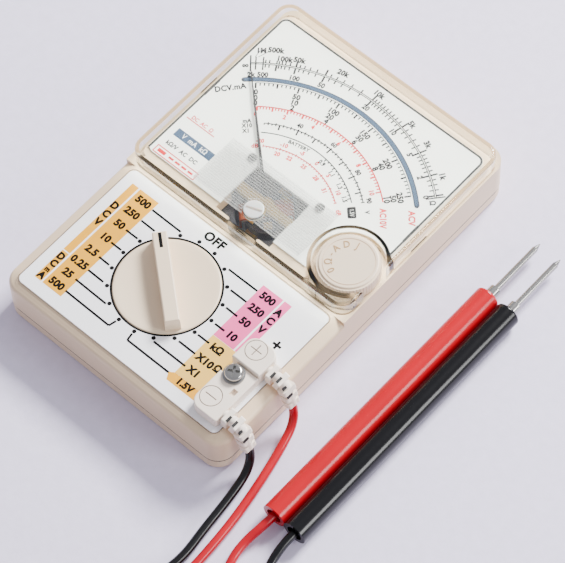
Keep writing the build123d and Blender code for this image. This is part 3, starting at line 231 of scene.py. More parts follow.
INK = {
    "black": surface(
        "ink_black", (3, 3, 4), 0.7, 0.2, 500, 4000, 0.004, Specular_IOR_Level=0.15
    ),
    "red": surface("ink_red", (196, 0, 16), 0.7, 0.08, 500, 4000, 0.004, Specular_IOR_Level=0.2),
    "band": surface("ink_band", (50, 72, 98), 0.35, 0.05, 200, 4000, 0.004),
    "band_edge": surface("ink_band_edge", (16, 30, 50), 0.45, 0.08, 200, 4000, 0.004),
    "yellow": surface("ink_yellow", (230, 162, 0), 0.45, 0.04, 200, 3000, 0.006),
    "pink": surface("ink_pink", (238, 88, 152), 0.45, 0.04, 200, 3000, 0.006),
    "tan": surface("ink_tan", (238, 190, 84), 0.45, 0.03, 200, 3000, 0.006),
    "white": surface("ink_white", (246, 246, 244), 0.45, 0.02, 200, 3000, 0.004),
    # shade ink: painted shade for slots, gaps and edges that are dark only from shade
    "shade": surface("painted_shade_dark", (12, 11, 11), 0.6, 0.15, 300, 3000, 0.01),
    # line ink: painted shade for thin dark edges and sunk marks
    "line": surface(
        "painted_shade_line_brown", (104, 88, 78), 0.6, 0.1, 300, 3000, 0.004, Specular_IOR_Level=0.2
    ),
    # emboss ink: painted shade for raised letters of the same plastic
    "emboss": surface("emboss_painted_shade_tan", (176, 140, 92), 0.4, 0.05, 300, 3000, 0.01),
}
slots = {entry["node"]: entry["material_slot"] for entry in frame["record"]["subparts"]}
for name, node in nodes.items():
    node.data.materials.clear()
    node.data.materials.append(LOOKS[slots[name]])


# ---------------------------------------------------------------- leads
LEAD_D = 2.8
COIL_D = 1.03 * LEAD_D
FLOOR = LEAD_D / 2 + 0.05
RED_X, BLACK_X, PROBE_Z = 65.7, 73.85, 4.0
# each lead: the run from its plug, the coil as (centre, radius, start angle, turns), the run to its probe
LEADS = {
    "red": {
        "start": [
            (47.3, -37.5, 10.2), (48.3, -37.5, 6.6), (50.0, -40.6, 3.3), (51.2, -45.6, 1.7),
            (53.2, -53.7, FLOOR), (55.4, -64.5, FLOOR), (57.0, -74.9, FLOOR), (57.8, -84.4, FLOOR),
            (58.3, -93.4, FLOOR), (57.4, -101.8, FLOOR),
        ],
        "coil": ((68.0, -118.0), 14.2, 180, 4.5),
        "end": [
            (83.2, -109.6, FLOOR), (80.8, -102.2, FLOOR), (75.4, -96.4, FLOOR), (68.8, -91.6, FLOOR),
            (65.0, -84.5, FLOOR), (64.2, -77.5, 2.1), (65.3, -71.2, 3.7), (RED_X, -66.6, PROBE_Z),
            (RED_X, -62.2, PROBE_Z),
        ],
    },
    "black": {
        "start": [
            (47.3, -56.5, 10.2), (48.3, -56.5, 6.6), (49.7, -59.7, 3.3), (50.5, -64.6, 1.7),
            (51.5, -72.6, FLOOR), (52.4, -82.0, FLOOR), (53.8, -91.5, FLOOR), (52.8, -100.0, FLOOR),
            (48.2, -108.4, FLOOR), (45.4, -118.5, FLOOR), (46.8, -130.0, FLOOR), (54.0, -140.6, FLOOR),
            (66.0, -146.8, FLOOR), (80.4, -147.2, FLOOR), (94.0, -142.4, FLOOR), (106.4, -133.0, FLOOR),
        ],
        "coil": ((105.0, -108.0), 15.0, -45, 3.375),
        "end": [
            (99.5, -91.0, FLOOR), (92.4, -90.9, FLOOR), (84.6, -89.2, FLOOR), (77.6, -84.8, FLOOR),
            (74.6, -78.4, 2.1), (73.8, -71.8, 3.7), (BLACK_X, -66.9, PROBE_Z),
            (BLACK_X, -62.5, PROBE_Z),
        ],
    },
}
# where each turn lies in the bundle, across and up, in cord widths
NESTS = [(0.5, 0.5), (-0.5, 0.5), (-0.5, 1.5), (0.5, 1.5), (0.0, 2.45)]
# in turns: where the first crossing starts, how far on the next one is, how long a crossing takes
FIRST_CROSSING, CROSSING_EVERY, CROSSING_RUN = 0.9, 0.8, 0.15
COIL_LIFT = 0.02


def coil_points(centre, radius, start, turns):
    """Turns laid side by side and then on top, each crossing to its next place in a short run."""
    points = []
    per_turn = 16
    for step in range(int(turns * per_turn) + 1):
        turn = step / per_turn
        across, height = NESTS[0]
        for k, (next_across, next_height) in enumerate(NESTS[1:]):
            share = (turn - FIRST_CROSSING - CROSSING_EVERY * k) / CROSSING_RUN
            share = min(1.0, max(0.0, share))
            share = share * share * (3 - 2 * share)
            across += (next_across - across) * share
            height += (next_height - height) * share
        angle = math.radians(start + 360 * turn)
        reach = radius + across * COIL_D
        x = centre[0] + reach * math.cos(angle)
        y = centre[1] + reach * math.sin(angle)
        points.append((x, y, height * COIL_D + COIL_LIFT))
    return points


def spline_object(name, points, diameter):
    """One open NURBS cord through the route's points, in millimetres."""
    curve = bpy.data.curves.new(name, "CURVE")
    curve.dimensions = "3D"
    line = curve.splines.new("NURBS")
    line.points.add(len(points) - 1)
    for place, point in zip(line.points, points):
        place.co = (*(Vector(point) * MM), 1.0)
    line.order_u = 3
    line.use_endpoint_u = True
    line.resolution_u = 6
    curve.bevel_depth = diameter / 2 * MM
    curve.bevel_resolution = 5
    curve.use_fill_caps = True
    made = bpy.data.objects.new(name, curve)
    bpy.context.collection.objects.link(made)
    return made


def finish_mesh(name, bm, material, body):
    """Turns a bmesh in millimetres into a closed piece that rides on a body."""
    bmesh.ops.recalc_face_normals(bm, faces=bm.faces)
    bm.transform(Matrix.Scale(MM, 4))
    mesh = bpy.data.meshes.new(name)
    bm.to_mesh(mesh)
    bm.free()
    mesh.materials.append(material)
    made = bpy.data.objects.new(name, mesh)
    bpy.context.collection.objects.link(made)
    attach(made, body)
    return made


def join_rings(bm, pairs):
    """Faces between neighbouring rings of points; every ring is closed."""
    for here, there in pairs:
        for k in range(len(here)):
            n = (k + 1) % len(here)
            bm.faces.new((here[k], here[n], there[n], there[k]))


def ring_band(bm, frame_of, outline, half_width, thickness):
    """A closed band that follows an outline round a bundle."""
    rings = []
    for u, v, nu, nv in outline:
        corners = []
        for side, lift in ((-1, 0), (1, 0), (1, 1), (-1, 1)):
            place = frame_of(u + nu * lift * thickness, v + nv * lift * thickness, side * half_width)
            corners.append(bm.verts.new(place))
        rings.append(corners)
    join_rings(bm, zip(rings, rings[1:] + rings[:1]))


TIE_CORNER = 1.3
TIE_HALF_WIDTH = 1.9
TIE_T = 0.45
TIE_SOFT_EDGE = 0.12


def tie(name, centre, radius, angle, top, material):
    """A soft tie round the bundle of turns."""
    bm = bmesh.new()
    turned = math.radians(angle)
    outward = Vector((math.cos(turned), math.sin(turned), 0))
    along = Vector((-math.sin(turned), math.cos(turned), 0))
    middle = Vector((*centre, 0)) + outward * radius

    def frame_of(u, v, w):
        return middle + outward * u + along * w + Vector((0, 0, v))

    reach = COIL_D - TIE_CORNER
    high, low = top - TIE_CORNER, COIL_LIFT + TIE_CORNER
    outline = []
    for cu, cv, first in ((reach, high, 0), (-reach, high, 90), (-reach, low, 180), (reach, low, 270)):
        for step in range(5):
            a = math.radians(first + step * 22.5)
            across, upward = math.cos(a), math.sin(a)
            outline.append((cu + TIE_CORNER * across, cv + TIE_CORNER * upward, across, max(upward, 0.0)))
    ring_band(bm, frame_of, outline, TIE_HALF_WIDTH, TIE_T)
    made = finish_mesh(name, bm, material, "case")
    bevel = made.modifiers.new("soft_edge", "BEVEL")
    bevel.width = TIE_SOFT_EDGE * MM
    bevel.segments = 2
    return made


# the bundle's height in cord widths, by whether it has a third layer
THREE_LAYERS, TWO_LAYERS = 2.95, 2.05

for colour, parts in LEADS.items():
    coil = coil_points(*parts["coil"])
    points = parts["start"] + coil + parts["end"]
    lead = spline_object(f"test_lead_{colour}", points, LEAD_D)
    lead.data.materials.append(LOOKS[f"{colour}_pvc"])
    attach(lead, "case")
    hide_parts(f"lead_{colour}", f"lead_{colour}_end", f"lead_coil_{colour}")
    centre, radius, start, turns = parts["coil"]
    height = (THREE_LAYERS if turns > 4 else TWO_LAYERS) * COIL_D
    ties = [
        tie(f"tie_{colour}_{k}", centre, radius, angle, height, LOOKS["plug_rubber"])
        for k, angle in enumerate((start + 75, start + 215))
    ]


# ---------------------------------------------------------------- printing tools
PRINT_T = 0.025
# lift that keeps one printed layer from lying in another's plane
HAIR = 0.001


def slab(bm, corners, z, thickness=PRINT_T):
    """A thin closed plate from a flat outline."""
    low = [bm.verts.new((x, y, z)) for x, y in corners]
    high = [bm.verts.new((x, y, z + thickness)) for x, y in corners]
    bm.faces.new(low[::-1])
    bm.faces.new(high)
    for k in range(len(corners)):
        n = (k + 1) % len(corners)
        bm.faces.new((low[k], low[n], high[n], high[k]))


def bar(bm, a, b, width, z, thickness=PRINT_T):
    """A thin straight line from a to b."""
    a, b = Vector(a), Vector(b)
    side = (b - a).orthogonal().normalized() * width / 2
    slab(bm, [a + side, b + side, b - side, a - side], z, thickness)


def arc(bm, centre, radius, first, last, width, z, thickness=PRINT_T, steps=96):
    """A thin curved line; angles are clockwise from +Y in degrees."""
    rows = []
    closed = last - first > 359.9
    for k in range(steps + (0 if closed else 1)):
        a = math.radians(first + (last - first) * k / steps)
        row = []
        for side, lift in ((-1, 0), (1, 0), (1, thickness), (-1, thickness)):
            r = radius + side * width / 2
            row.append(bm.verts.new((centre[0] + r * math.sin(a), centre[1] + r * math.cos(a), z + lift)))
        rows.append(row)
    pairs = list(zip(rows, rows[1:]))
    if closed:
        pairs.append((rows[-1], rows[0]))
    else:
        bm.faces.new(rows[0])
        bm.faces.new(rows[-1][::-1])
    join_rings(bm, pairs)


def disc(bm, centre, radius, z, thickness=PRINT_T, steps=24):
    """A thin round dot."""
    rim = []
    for k in range(steps):
        a = 2 * math.pi * k / steps
        rim.append((centre[0] + radius * math.cos(a), centre[1] + radius * math.sin(a)))
    slab(bm, rim, z, thickness)


def polar(centre, radius, angle):
    """A point clockwise from +Y in degrees."""
    a = math.radians(angle)
    return centre[0] + radius * math.sin(a), centre[1] + radius * math.cos(a)


def tick(bm, centre, inner, outer, angle, width, z):
    """A mark from one radius to another at an angle, clockwise from +Y."""
    bar(bm, polar(centre, inner, angle), polar(centre, outer, angle), width, z)


# the height of a capital as a share of the font's size
CAPITAL = 0.72


def text(bm, body, place, height, z, turn=0.0, weight=0.0, squeeze=0.9, thickness=PRINT_T):
    """Adds one word; height is the height of its capitals, turn is clockwise in degrees."""
    curve = bpy.data.curves.new("word", "FONT")
    curve.body = body
    curve.size = height / CAPITAL
    curve.align_x = "CENTER"
    curve.align_y = "CENTER"
    curve.space_character = 1.06
    curve.extrude = thickness / 2
    curve.offset = weight
    curve.resolution_u = 3
    holder = bpy.data.objects.new("word", curve)
    bpy.context.collection.objects.link(holder)
    graph = bpy.context.evaluated_depsgraph_get()
    mesh = bpy.data.meshes.new_from_object(holder.evaluated_get(graph))
    lifted = Matrix.Translation((place[0], place[1], z + thickness / 2))
    turned = Matrix.Rotation(math.radians(-turn), 4, "Z")
    mesh.transform(lifted @ turned @ Matrix.Diagonal((squeeze, 1, 1, 1)))
    bm.from_mesh(mesh)
    bpy.data.objects.remove(holder)
    bpy.data.curves.remove(curve)
    bpy.data.meshes.remove(mesh)


def printed(name, bm, ink, body="case"):
    """Welds a printed layer and finishes it."""
    bmesh.ops.remove_doubles(bm, verts=bm.verts, dist=0.0005)
    return finish_mesh(name, bm, INK[ink], body)


# ---------------------------------------------------------------- front panel printing
PANEL_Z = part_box("panel_plate")[1].z / MM
KNOB = (-4.15, -35.1)
blocks = bmesh.new()
slab(blocks, [(-33.3, -58.3), (-25.7, -58.3), (-25.7, -15.5), (-33.3, -15.5)], PANEL_Z)
slab(blocks, [(-36.5, -58.3), (-33.9, -58.3), (-33.9, -46.2), (-36.5, -46.2)], PANEL_Z)
slab(blocks, [(-36.5, -45.8), (-33.9, -45.8), (-33.9, -15.5), (-36.5, -15.5)], PANEL_Z)
battery_tag = [(16.0, -56.3), (17.0, -58.2), (28.0, -58.2), (28.0, -54.9), (17.4, -54.9), (16.0, -55.8)]
slab(blocks, battery_tag, PANEL_Z)
printed("panel_blocks_yellow", blocks, "yellow")
blocks = bmesh.new()
slab(blocks, [(17.3, -38.2), (25.2, -38.2), (25.2, -16.1), (17.3, -16.1)], PANEL_Z)
slab(blocks, [(25.8, -38.2), (28.6, -38.2), (28.6, -16.1), (25.8, -16.1)], PANEL_Z)
printed("panel_blocks_pink", blocks, "pink")
blocks = bmesh.new()
slab(blocks, [(17.3, -54.85), (28.0, -54.85), (28.0, -38.3), (17.3, -38.3)], PANEL_Z)
printed("panel_blocks_tan", blocks, "tan")

# ring, one dot per switch position, and a line from each dot to its range
INK_Z = PANEL_Z + PRINT_T
POSITIONS = 18
marks = bmesh.new()
arc(marks, KNOB, 16.75, 0, 360, 0.6, PANEL_Z, steps=120)
for position in range(POSITIONS):
    disc(marks, polar(KNOB, 17.86, 10 + 20 * position), 0.68, PANEL_Z)
LINES = [
    [(-25.6, -18.5), (-13.8, -18.6)], [(-25.6, -23.4), (-19.9, -23.5)], [(-26.8, -28.8), (-22.0, -28.8)],
    [(-27.2, -34.9), (-23.0, -34.9)], [(-26.5, -40.9), (-22.2, -41.0)], [(-25.8, -46.3), (-19.5, -46.4)],
    [(-26.5, -51.1), (-13.8, -51.3)], [(-26.0, -55.9), (-8.1, -56.1)], [(-8.1, -56.1), (-7.5, -53.6)],
    [(5.8, -18.8), (17.3, -18.8)], [(11.0, -23.7), (17.4, -23.7)], [(14.0, -29.0), (18.6, -29.1)],
    [(15.2, -35.2), (19.0, -35.2)], [(13.9, -41.2), (18.4, -41.2)], [(11.1, -46.5), (17.7, -46.5)],
    [(5.6, -51.4), (18.3, -51.4)], [(-1.0, -53.6), (-0.6, -56.1)], [(-0.6, -56.1), (16.0, -56.1)],
]
for a, b in LINES:
    bar(marks, a, b, 0.7, INK_Z)
WORDS = [
    ("OFF", (-4.0, -14.3), 3.0), ("500", (-29.5, -18.4), 2.4), ("250", (-29.5, -23.4), 2.4),
    ("50", (-29.6, -28.7), 2.4), ("10", (-29.6, -34.8), 2.4), ("2.5", (-29.6, -40.8), 2.4),
    ("0.25", (-29.6, -46.2), 2.4), ("25", (-29.7, -51.1), 2.4), ("500", (-29.7, -55.9), 2.4),
    ("500", (21.4, -18.9), 2.4), ("250", (21.4, -24.0), 2.4), ("50", (21.6, -29.2), 2.4),
    ("10", (21.8, -35.2), 2.4), ("kΩ", (21.6, -41.3), 2.4), ("X10", (21.5, -46.5), 2.4),
    ("X1", (21.4, -51.3), 2.4), ("1.5V", (22.5, -56.3), 2.2), ("Ω", (26.1, -46.1), 2.3),
    ("D", (-35.2, -24.9), 2.4), ("C", (-35.2, -28.6), 2.4), ("V", (-35.2, -32.3), 2.4),
    ("D", (-35.2, -48.3), 2.3), ("C", (-35.2, -51.4), 2.3), ("A", (-35.2, -56.7), 2.3),
    ("A", (27.0, -20.4), 2.4), ("C", (27.0, -24.0), 2.4), ("V", (27.0, -27.9), 2.4),
]
for body, place, height in WORDS:
    text(marks, body, place, height, INK_Z, weight=0.2, squeeze=1.0)
text(marks, "m", (-35.2, -54.1), 1.7, INK_Z, weight=0.16)
bar(marks, (32.4, -28.7), (35.4, -28.7), 0.8, PANEL_Z)
bar(marks, (33.9, -27.2), (33.9, -30.2), 0.8, PANEL_Z + HAIR)
printed("panel_marks", marks, "black")

# thin line of painted shade round the panel's label: its straight runs, then its corners
LABEL_X, LABEL_TOP, LABEL_FOOT, LABEL_CORNER, LABEL_LINE = 38.2, -13.2, -60.6, 2.1, 0.22
outline = bmesh.new()
for y in (-11.0, -62.8):
    bar(outline, (-LABEL_X, y), (LABEL_X, y), LABEL_LINE, PANEL_Z)
for x in (-40.2, 40.2):
    bar(outline, (x, LABEL_TOP), (x, LABEL_FOOT), LABEL_LINE, PANEL_Z)
for x, y, first in (
    (-LABEL_X, LABEL_TOP, -90), (LABEL_X, LABEL_TOP, 0),
    (LABEL_X, LABEL_FOOT, 90), (-LABEL_X, LABEL_FOOT, 180),
):
    arc(outline, (x, y), LABEL_CORNER, first, first + 90, LABEL_LINE, PANEL_Z, steps=8)
printed("label_shadow", outline, "line")

# painted shade in the groove where the two shells meet: a dark closed band just inside the wall
CORNER_X, CORNER_Y, CORNER_R = 38, 59.5, 6
GROOVE_Z, GROOVE_H = 4.41, 0.55
GROOVE_OUT, GROOVE_IN = 0.12, 1.0
groove = bmesh.new()
rows = []
for inset, lift in ((GROOVE_OUT, 0), (GROOVE_OUT, GROOVE_H), (GROOVE_IN, GROOVE_H), (GROOVE_IN, 0)):
    row = []
    for sx, sy, first in ((1, 1, 0), (-1, 1, 90), (-1, -1, 180), (1, -1, 270)):
        for step in range(7):
            a = math.radians(first + step * 15)
            x = sx * CORNER_X + (CORNER_R - inset) * math.cos(a)
            y = sy * CORNER_Y + (CORNER_R - inset) * math.sin(a)
            row.append(groove.verts.new((x, y, GROOVE_Z + lift)))
    rows.append(row)
join_rings(groove, zip(rows, rows[1:] + rows[:1]))
finish_mesh("parting_groove_painted_shade", groove, INK["shade"], "case")

# sunk signs on the plugs, with painted shade in their recesses
JACK_X, PLUS_Y, MINUS_Y = 32.4, -35.975, -55.025
SIGN_DEPTH = 0.19
SIGN_REACH = 2.0
signs = bmesh.new()
for plug, centre, tall in (
    ("plug_body_negative", (JACK_X - 0.4, MINUS_Y), False),
    ("plug_body_positive", (JACK_X, PLUS_Y + 0.2), True),
):
    x, y = centre
    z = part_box(plug)[1].z / MM - SIGN_DEPTH
    arc(signs, centre, 3.35, 0, 360, 0.2, z, steps=48)
    bar(signs, (x - SIGN_REACH, y), (x + SIGN_REACH, y), 0.26, z)
    if tall:
        bar(signs, (x, y - SIGN_REACH), (x, y + SIGN_REACH), 0.26, z + HAIR)
printed("plug_signs_painted_shade", signs, "line")

# painted shade: dark blocks in the open slots between the ribs of the cord guards
gaps = bmesh.new()
for y in (PLUS_Y - 1.5, MINUS_Y - 1.5):
    for x, z, lean in ((41.2, 20.88, 0), (43.6, 20.8, 8), (45.9, 19.0, 50), (47.6, 16.0, 74)):
        made = bmesh.ops.create_cube(gaps, size=1.0)["verts"]
        leaning = Matrix.Rotation(math.radians(lean), 4, "Y") @ Matrix.Diagonal((0.8, 2.2, 0.4, 1))
        bmesh.ops.transform(gaps, matrix=Matrix.Translation((x, y - 0.9, z)) @ leaning, verts=made)
finish_mesh("guard_slots_painted_shade", gaps, INK["shade"], "case")

# ---------------------------------------------------------------- dial printing
DIAL_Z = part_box("dial_plate")[1].z / MM
CENTRE = (0.3, -3.3)
OHM_CENTRE = (0.3, -5.0)
SWING = 39.8
# angle of the words right of the volt scales
RIGHT_END = 49.0


def ohm_angle(ohms, middle):
    """Where a resistance lies on a scale whose middle value is known."""
    return SWING * (2 * middle / (middle + ohms) - 1)


black = bmesh.new()
red = bmesh.new()
for radius in (57.2, 57.7):
    arc(black, OHM_CENTRE, radius, -40.6, 40.6, 0.3, DIAL_Z)
# (from, to, step) in ohms; each value is marked below the lines and, as half as many kilo-ohms, above
OHM_STEPS = [(0, 5, 0.5), (5, 20, 1), (20, 50, 5), (50, 100, 10), (100, 200, 20), (200, 500, 100)]
OHM_MIDDLE = 20
for low, high, step in OHM_STEPS:
    for k in range(int(round((high - low) / step))):
        value = low + k * step
        major = value in (0, 2, 5, 10, 20, 50, 100, 200)
        inner, width = (55.0, 0.6) if major else (56.0, 0.46)
        tick(black, OHM_CENTRE, inner, 57.2, ohm_angle(value, OHM_MIDDLE), width, DIAL_Z)
        major = major and value < 200
        outer, width = (59.9, 0.6) if major else (58.9, 0.46)
        tick(black, OHM_CENTRE, 57.7, outer, ohm_angle(value / 2, OHM_MIDDLE / 2), width, DIAL_Z)
for value in (500, 2000):
    tick(black, OHM_CENTRE, 55.0, 59.9, ohm_angle(value, OHM_MIDDLE), 0.45, DIAL_Z)
tick(black, OHM_CENTRE, 54.4, 60.4, -40.6, 0.5, DIAL_Z)
tick(black, OHM_CENTRE, 54.4, 60.4, 40.6, 0.45, DIAL_Z)
bar(black, (-37.6, 41.3), (-37.9, 44.0), 0.2, DIAL_Z)
bar(black, (-36.8, 41.9), (-35.6, 45.6), 0.2, DIAL_Z)
OUTER = [
    ("1M", 60.8, -38.6), ("500k", 61.2, -34.4), ("50k", 58.8, -26.9), ("20k", 59.1, -13.0),
    ("10k", 58.9, 0.2), ("5k", 59.0, 14.6), ("3k", 59.4, 22.9), ("1k", 59.6, 34.6), ("100k", 58.3, -31.4),
]
for body, radius, angle in OUTER:
    text(black, body, polar(CENTRE, radius, angle), 1.85, DIAL_Z, turn=angle, weight=0.14, squeeze=0.92)
INNER = [
    ("∞", 55.3, -43.4), ("2k", 51.9, -41.6), ("500", 51.9, -37.6), ("100", 52.0, -26.8),
    ("50", 52.2, -17.2), ("20", 52.6, 0.3), ("10", 52.7, 13.4), ("5", 52.9, 23.8),
    ("2", 52.9, 33.3), ("0", 53.2, 41.0), ("Ω", 54.9, 43.4),
]
for body, radius, angle in INNER:
    text(black, body, polar(CENTRE, radius, angle), 1.7, DIAL_Z, turn=angle, weight=0.13, squeeze=0.92)

# volt and milliamp scale under the band
arc(black, CENTRE, 48.95, -SWING, SWING, 0.2, DIAL_Z)
for k in range(51):
    angle = -SWING + 2 * SWING * k / 50
    inner = 46.9 if k % 10 == 0 else 47.3 if k % 5 == 0 else 47.9
    tick(black, CENTRE, inner, 48.95, angle, 0.58 if k % 5 == 0 else 0.44, DIAL_Z)
for step, radius in ((50, 45.5), (10, 43.4), (2, 41.4)):
    for k in range(6):
        angle = -39.6 + 15.9 * k
        place = polar(CENTRE, radius, angle)
        text(black, str(step * k), place, 1.8, DIAL_Z, turn=angle, weight=0.14, squeeze=0.95)
text(black, "DCV.mA", polar(CENTRE, 47.6, -49.2), 2.0, DIAL_Z, turn=-49.4, weight=0.12, squeeze=0.9)
place = polar(CENTRE, 48.4, RIGHT_END)
text(red, "ACV", place, 2.0, DIAL_Z, turn=RIGHT_END, weight=0.12, squeeze=0.9)

# red low-volt scale; its marks aren't evenly spaced
RED_MARKS = [-38.7, -25.0, -10.6, 4.6, 19.6, 35.6]
arc(red, CENTRE, 40.3, -38.7, 40.8, 0.42, DIAL_Z)
for k in range(50):
    pair = k // 10
    angle = RED_MARKS[pair] + (RED_MARKS[pair + 1] - RED_MARKS[pair]) * (k % 10) / 10
    inner, width = (38.7, 0.6) if k % 5 == 0 else (39.3, 0.42)
    tick(red, CENTRE, inner, 40.3, angle, width, DIAL_Z)
tick(red, CENTRE, 38.7, 40.3, RED_MARKS[5], 0.5, DIAL_Z)
for k, angle in enumerate(RED_MARKS):
    place = polar(CENTRE, 37.5, angle - 0.6)
    text(red, str(2 * k), place, 1.5, DIAL_Z, turn=angle, weight=0.11, squeeze=0.9)
place = polar(CENTRE, 39.8, RIGHT_END)
text(red, "AC10V", place, 2.0, DIAL_Z, turn=RIGHT_END, weight=0.12, squeeze=0.8)


def small_words(bm, words, height=1.4, weight=0.1):
    """Words that stand along a small scale: (word, radius, angle)."""
    for body, radius, angle in words:
        text(bm, body, polar(CENTRE, radius, angle), height, DIAL_Z, turn=angle, weight=weight, squeeze=0.9)


# small black scale
arc(black, CENTRE, 34.4, -34.5, 39.5, 0.34, DIAL_Z)
for k in range(38):
    inner, width = (32.6, 0.52) if k % 5 == 4 else (33.8, 0.4)
    outer = 34.9 if k % 2 else 34.4
    tick(black, CENTRE, inner, outer, -34.5 + 2 * k, width, DIAL_Z)
scale_numbers = (("40", 36.2, -16.9), ("60", 36.2, 2.9), ("80", 36.2, 22.4), ("90", 36.2, 39.0))
small_words(black, scale_numbers, 1.5, 0.11)
small_words(black, (("mA", 35.0, -43.4), ("X10", 33.3, -43.4), ("X1", 31.4, -44.0), ("V", 35.2, 45.4)))

# battery scale
arc(black, CENTRE, 31.0, -35.5, 38.7, 0.36, DIAL_Z)
for k in range(13):
    tick(black, CENTRE, 30.0 if k % 3 == 0 else 30.4, 31.0, 6.5 + 2.45 * k, 0.42, DIAL_Z)
small_words(black, (("0.9", 29.1, 6.5), ("1.1", 29.1, 16.0), ("1.3", 29.1, 25.8), ("1.5", 29.1, 35.4)))
text(black, "BATTERY", polar(CENTRE, 29.6, -11.8), 1.2, DIAL_Z, turn=-11.8, weight=0.07, squeeze=1.0)
BADGE = [
    (31.7, 41.4), (32.0, 42.0), (32.0, 48.2), (31.7, 48.8),
    (29.6, 48.9), (29.3, 48.2), (29.3, 42.0), (29.6, 41.3),
]
slab(black, [polar(CENTRE, radius, angle) for radius, angle in BADGE], DIAL_Z)

# decibel scale
arc(red, CENTRE, 26.2, -33.0, 37.0, 0.34, DIAL_Z)
for k in range(31):
    tick(red, CENTRE, 25.7, 26.7 if k % 5 == 0 else 26.2, -33.0 + 70 * k / 30, 0.32, DIAL_Z)
above = (("-20", -35.5), ("-10", -20.0), ("-5", -7.2), ("0", 4.6), ("5", 16.1), ("10", 29.8))
small_words(red, [(body, 27.9, angle) for body, angle in above])
below = (("20", -22.0), ("22", -12.5), ("25", 0.0), ("28", 13.0), ("31", 25.1))
small_words(red, [(body, 24.3, angle) for body, angle in below])
small_words(red, (("dB", 26.0, -38.6), ("dB", 26.6, 44.5)), 1.5, 0.08)

# notes at the left of the window
text(black, "kΩ/V  AC  DC", (-31.2, 0.8), 1.45, DIAL_Z, weight=0.08, squeeze=0.95)
bar(red, (-38.6, 11.3), (-27.4, 11.3), 0.35, DIAL_Z)
text(red, "DC  AC  Ω", (-33.2, 12.4), 1.35, DIAL_Z, weight=0.07)
for y in (-1.6, -4.2):
    bar(red, (-38.4, y), (-22.0, y), 0.35, DIAL_Z)
for x in (-38.4, -22.0):
    bar(red, (x, -4.3), (x, -1.5), 0.35, DIAL_Z)
bar(red, (-37.4, -2.9), (-34.4, -2.9), 1.2, DIAL_Z + HAIR)
for x in (-33.0, -30.4, -27.8, -25.2):
    bar(red, (x, -2.9), (x + 1.9, -2.9), 0.7, DIAL_Z + HAIR)
printed("dial_marks_black", black, "black")
printed("dial_marks_red", red, "red")

# broad band between the scales, with its plain block and its dark edges
BAND_R = 50.2
band = bmesh.new()
arc(band, CENTRE, BAND_R, -43.9, 43.9, 1.2, DIAL_Z)
slab(band, [(-37.6, 3.9), (-22.7, 3.9), (-22.7, 6.9), (-37.6, 6.9)], DIAL_Z)
printed("dial_band", band, "band")
edges = bmesh.new()
for radius in (49.52, 50.88):
    arc(edges, CENTRE, radius, -44.1, 44.1, 0.32, DIAL_Z)
for angle in (-44.1, 44.1):
    disc(edges, polar(CENTRE, BAND_R, angle), 0.75, DIAL_Z - HAIR)
printed("dial_band_edges", edges, "band_edge")
white = bmesh.new()
text(white, "V  mA  kΩ", (-30.1, 5.4), 1.7, DIAL_Z + PRINT_T, weight=0.02)
text(white, "1.5V", polar(CENTRE, 30.65, 45.1), 1.3, DIAL_Z + PRINT_T, turn=45.1, squeeze=0.75)
printed("dial_marks_white", white, "white")

# dark border of the dial: painted shade of the cover's inner edge, thicker beside the cover's latches
BORDER_X, BORDER_Y, BORDER_CORNER, BORDER_LINE = 38.0, 56.1, 2.2, 0.7
border = bmesh.new()
bar(border, (-BORDER_X, 58.3), (BORDER_X, 58.3), BORDER_LINE, DIAL_Z)
for x, foot in ((-40.2, -4.0), (40.2, 14.5)):
    bar(border, (x, foot), (x, BORDER_Y), BORDER_LINE, DIAL_Z)
for side, first in ((-1, -90), (1, 0)):
    centre = (side * BORDER_X, BORDER_Y)
    arc(border, centre, BORDER_CORNER, first, first + 90, BORDER_LINE, DIAL_Z, steps=12)
# painted shade beside the cover's latches
for x in (-40.15, 40.15):
    bar(border, (x, 20.8), (x, 27.8), 0.9, DIAL_Z + HAIR)
printed("dial_border_painted_shade", border, "shade")

# ---------------------------------------------------------------- knob mark and wheel letters
BAR_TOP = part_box("selector_knob")[1].z / MM
BAR_TURN = -50
mark = bmesh.new()
tick(mark, KNOB, 10.4, 15.6, BAR_TURN, 1.05, BAR_TOP)
printed("knob_mark", mark, "black", body="selector")

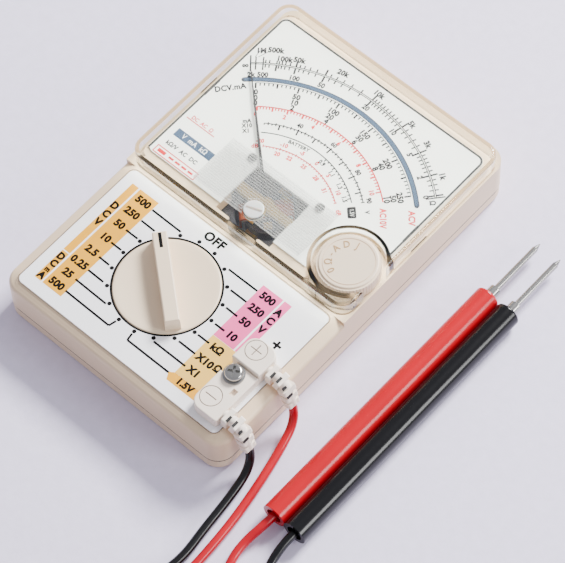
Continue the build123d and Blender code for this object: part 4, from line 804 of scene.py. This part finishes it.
WHEEL = (33.3, 4.1)
WHEEL_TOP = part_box("ohm_adjust_wheel")[1].z / MM
# raised letters coloured darker tan than the wheel: painted shade standing in for their shaded edges
letters = bmesh.new()
for body, angle in (("0", -160), ("Ω", -130), ("-", -104), ("A", -80), ("D", -47), ("J", -14)):
    text(letters, body, polar(WHEEL, 5.9, angle), 2.3, WHEEL_TOP, turn=angle, weight=0.02, thickness=0.12)
printed("wheel_letters_painted_shade", letters, "emboss", body="ohm_wheel")

# ---------------------------------------------------------------- painted shade in the small slots of the cover's latches
LATCH_NEAR, LATCH_FAR, LATCH_H = 43.41, 43.46, 0.8
latch = bmesh.new()
for left, right_edge, low, high, z in (
    (-LATCH_FAR, -LATCH_NEAR, 21.7, 29.0, 17.2),
    (LATCH_NEAR, LATCH_FAR, 20.6, 27.6, 18.0),
):
    slab(latch, [(left, low), (right_edge, low), (right_edge, high), (left, high)], z, LATCH_H)
printed("latch_slots_painted_shade", latch, "shade")

# ---------------------------------------------------------------- floor and light
floor_mesh = bmesh.new()
bmesh.ops.create_grid(floor_mesh, x_segments=8, y_segments=8, size=2.5)
mesh = bpy.data.meshes.new("floor")
floor_mesh.to_mesh(mesh)
floor_mesh.free()
mesh.materials.append(surface("floor_pale", (226, 219, 243), 0.75, 0.03, 300, 900, 0.05))
floor = bpy.data.objects.new("floor", mesh)
bpy.context.collection.objects.link(floor)
floor.location.z = -0.2 * MM

world = bpy.data.worlds.new("studio")
bpy.context.scene.world = world
world.use_nodes = True
world.node_tree.nodes["Background"].inputs["Color"].default_value = (0.9, 0.9, 1.0, 1)
world.node_tree.nodes["Background"].inputs["Strength"].default_value = 0.7


def softbox(name, place, size, power, colour=(1, 1, 1)):
    """A square area light aimed at the meter."""
    lamp = bpy.data.lights.new(name, "AREA")
    lamp.shape = "RECTANGLE"
    lamp.size, lamp.size_y = size
    lamp.energy = power
    lamp.color = colour
    holder = bpy.data.objects.new(name, lamp)
    holder.location = place
    holder.rotation_euler = (TARGET - Vector(place)).to_track_quat("-Z", "Y").to_euler()
    bpy.context.collection.objects.link(holder)


softbox("key", (0.05, 1.0, 0.85), (0.45, 0.35), 54)
softbox("side", (1.0, 0.3, 0.55), (0.4, 0.4), 7)
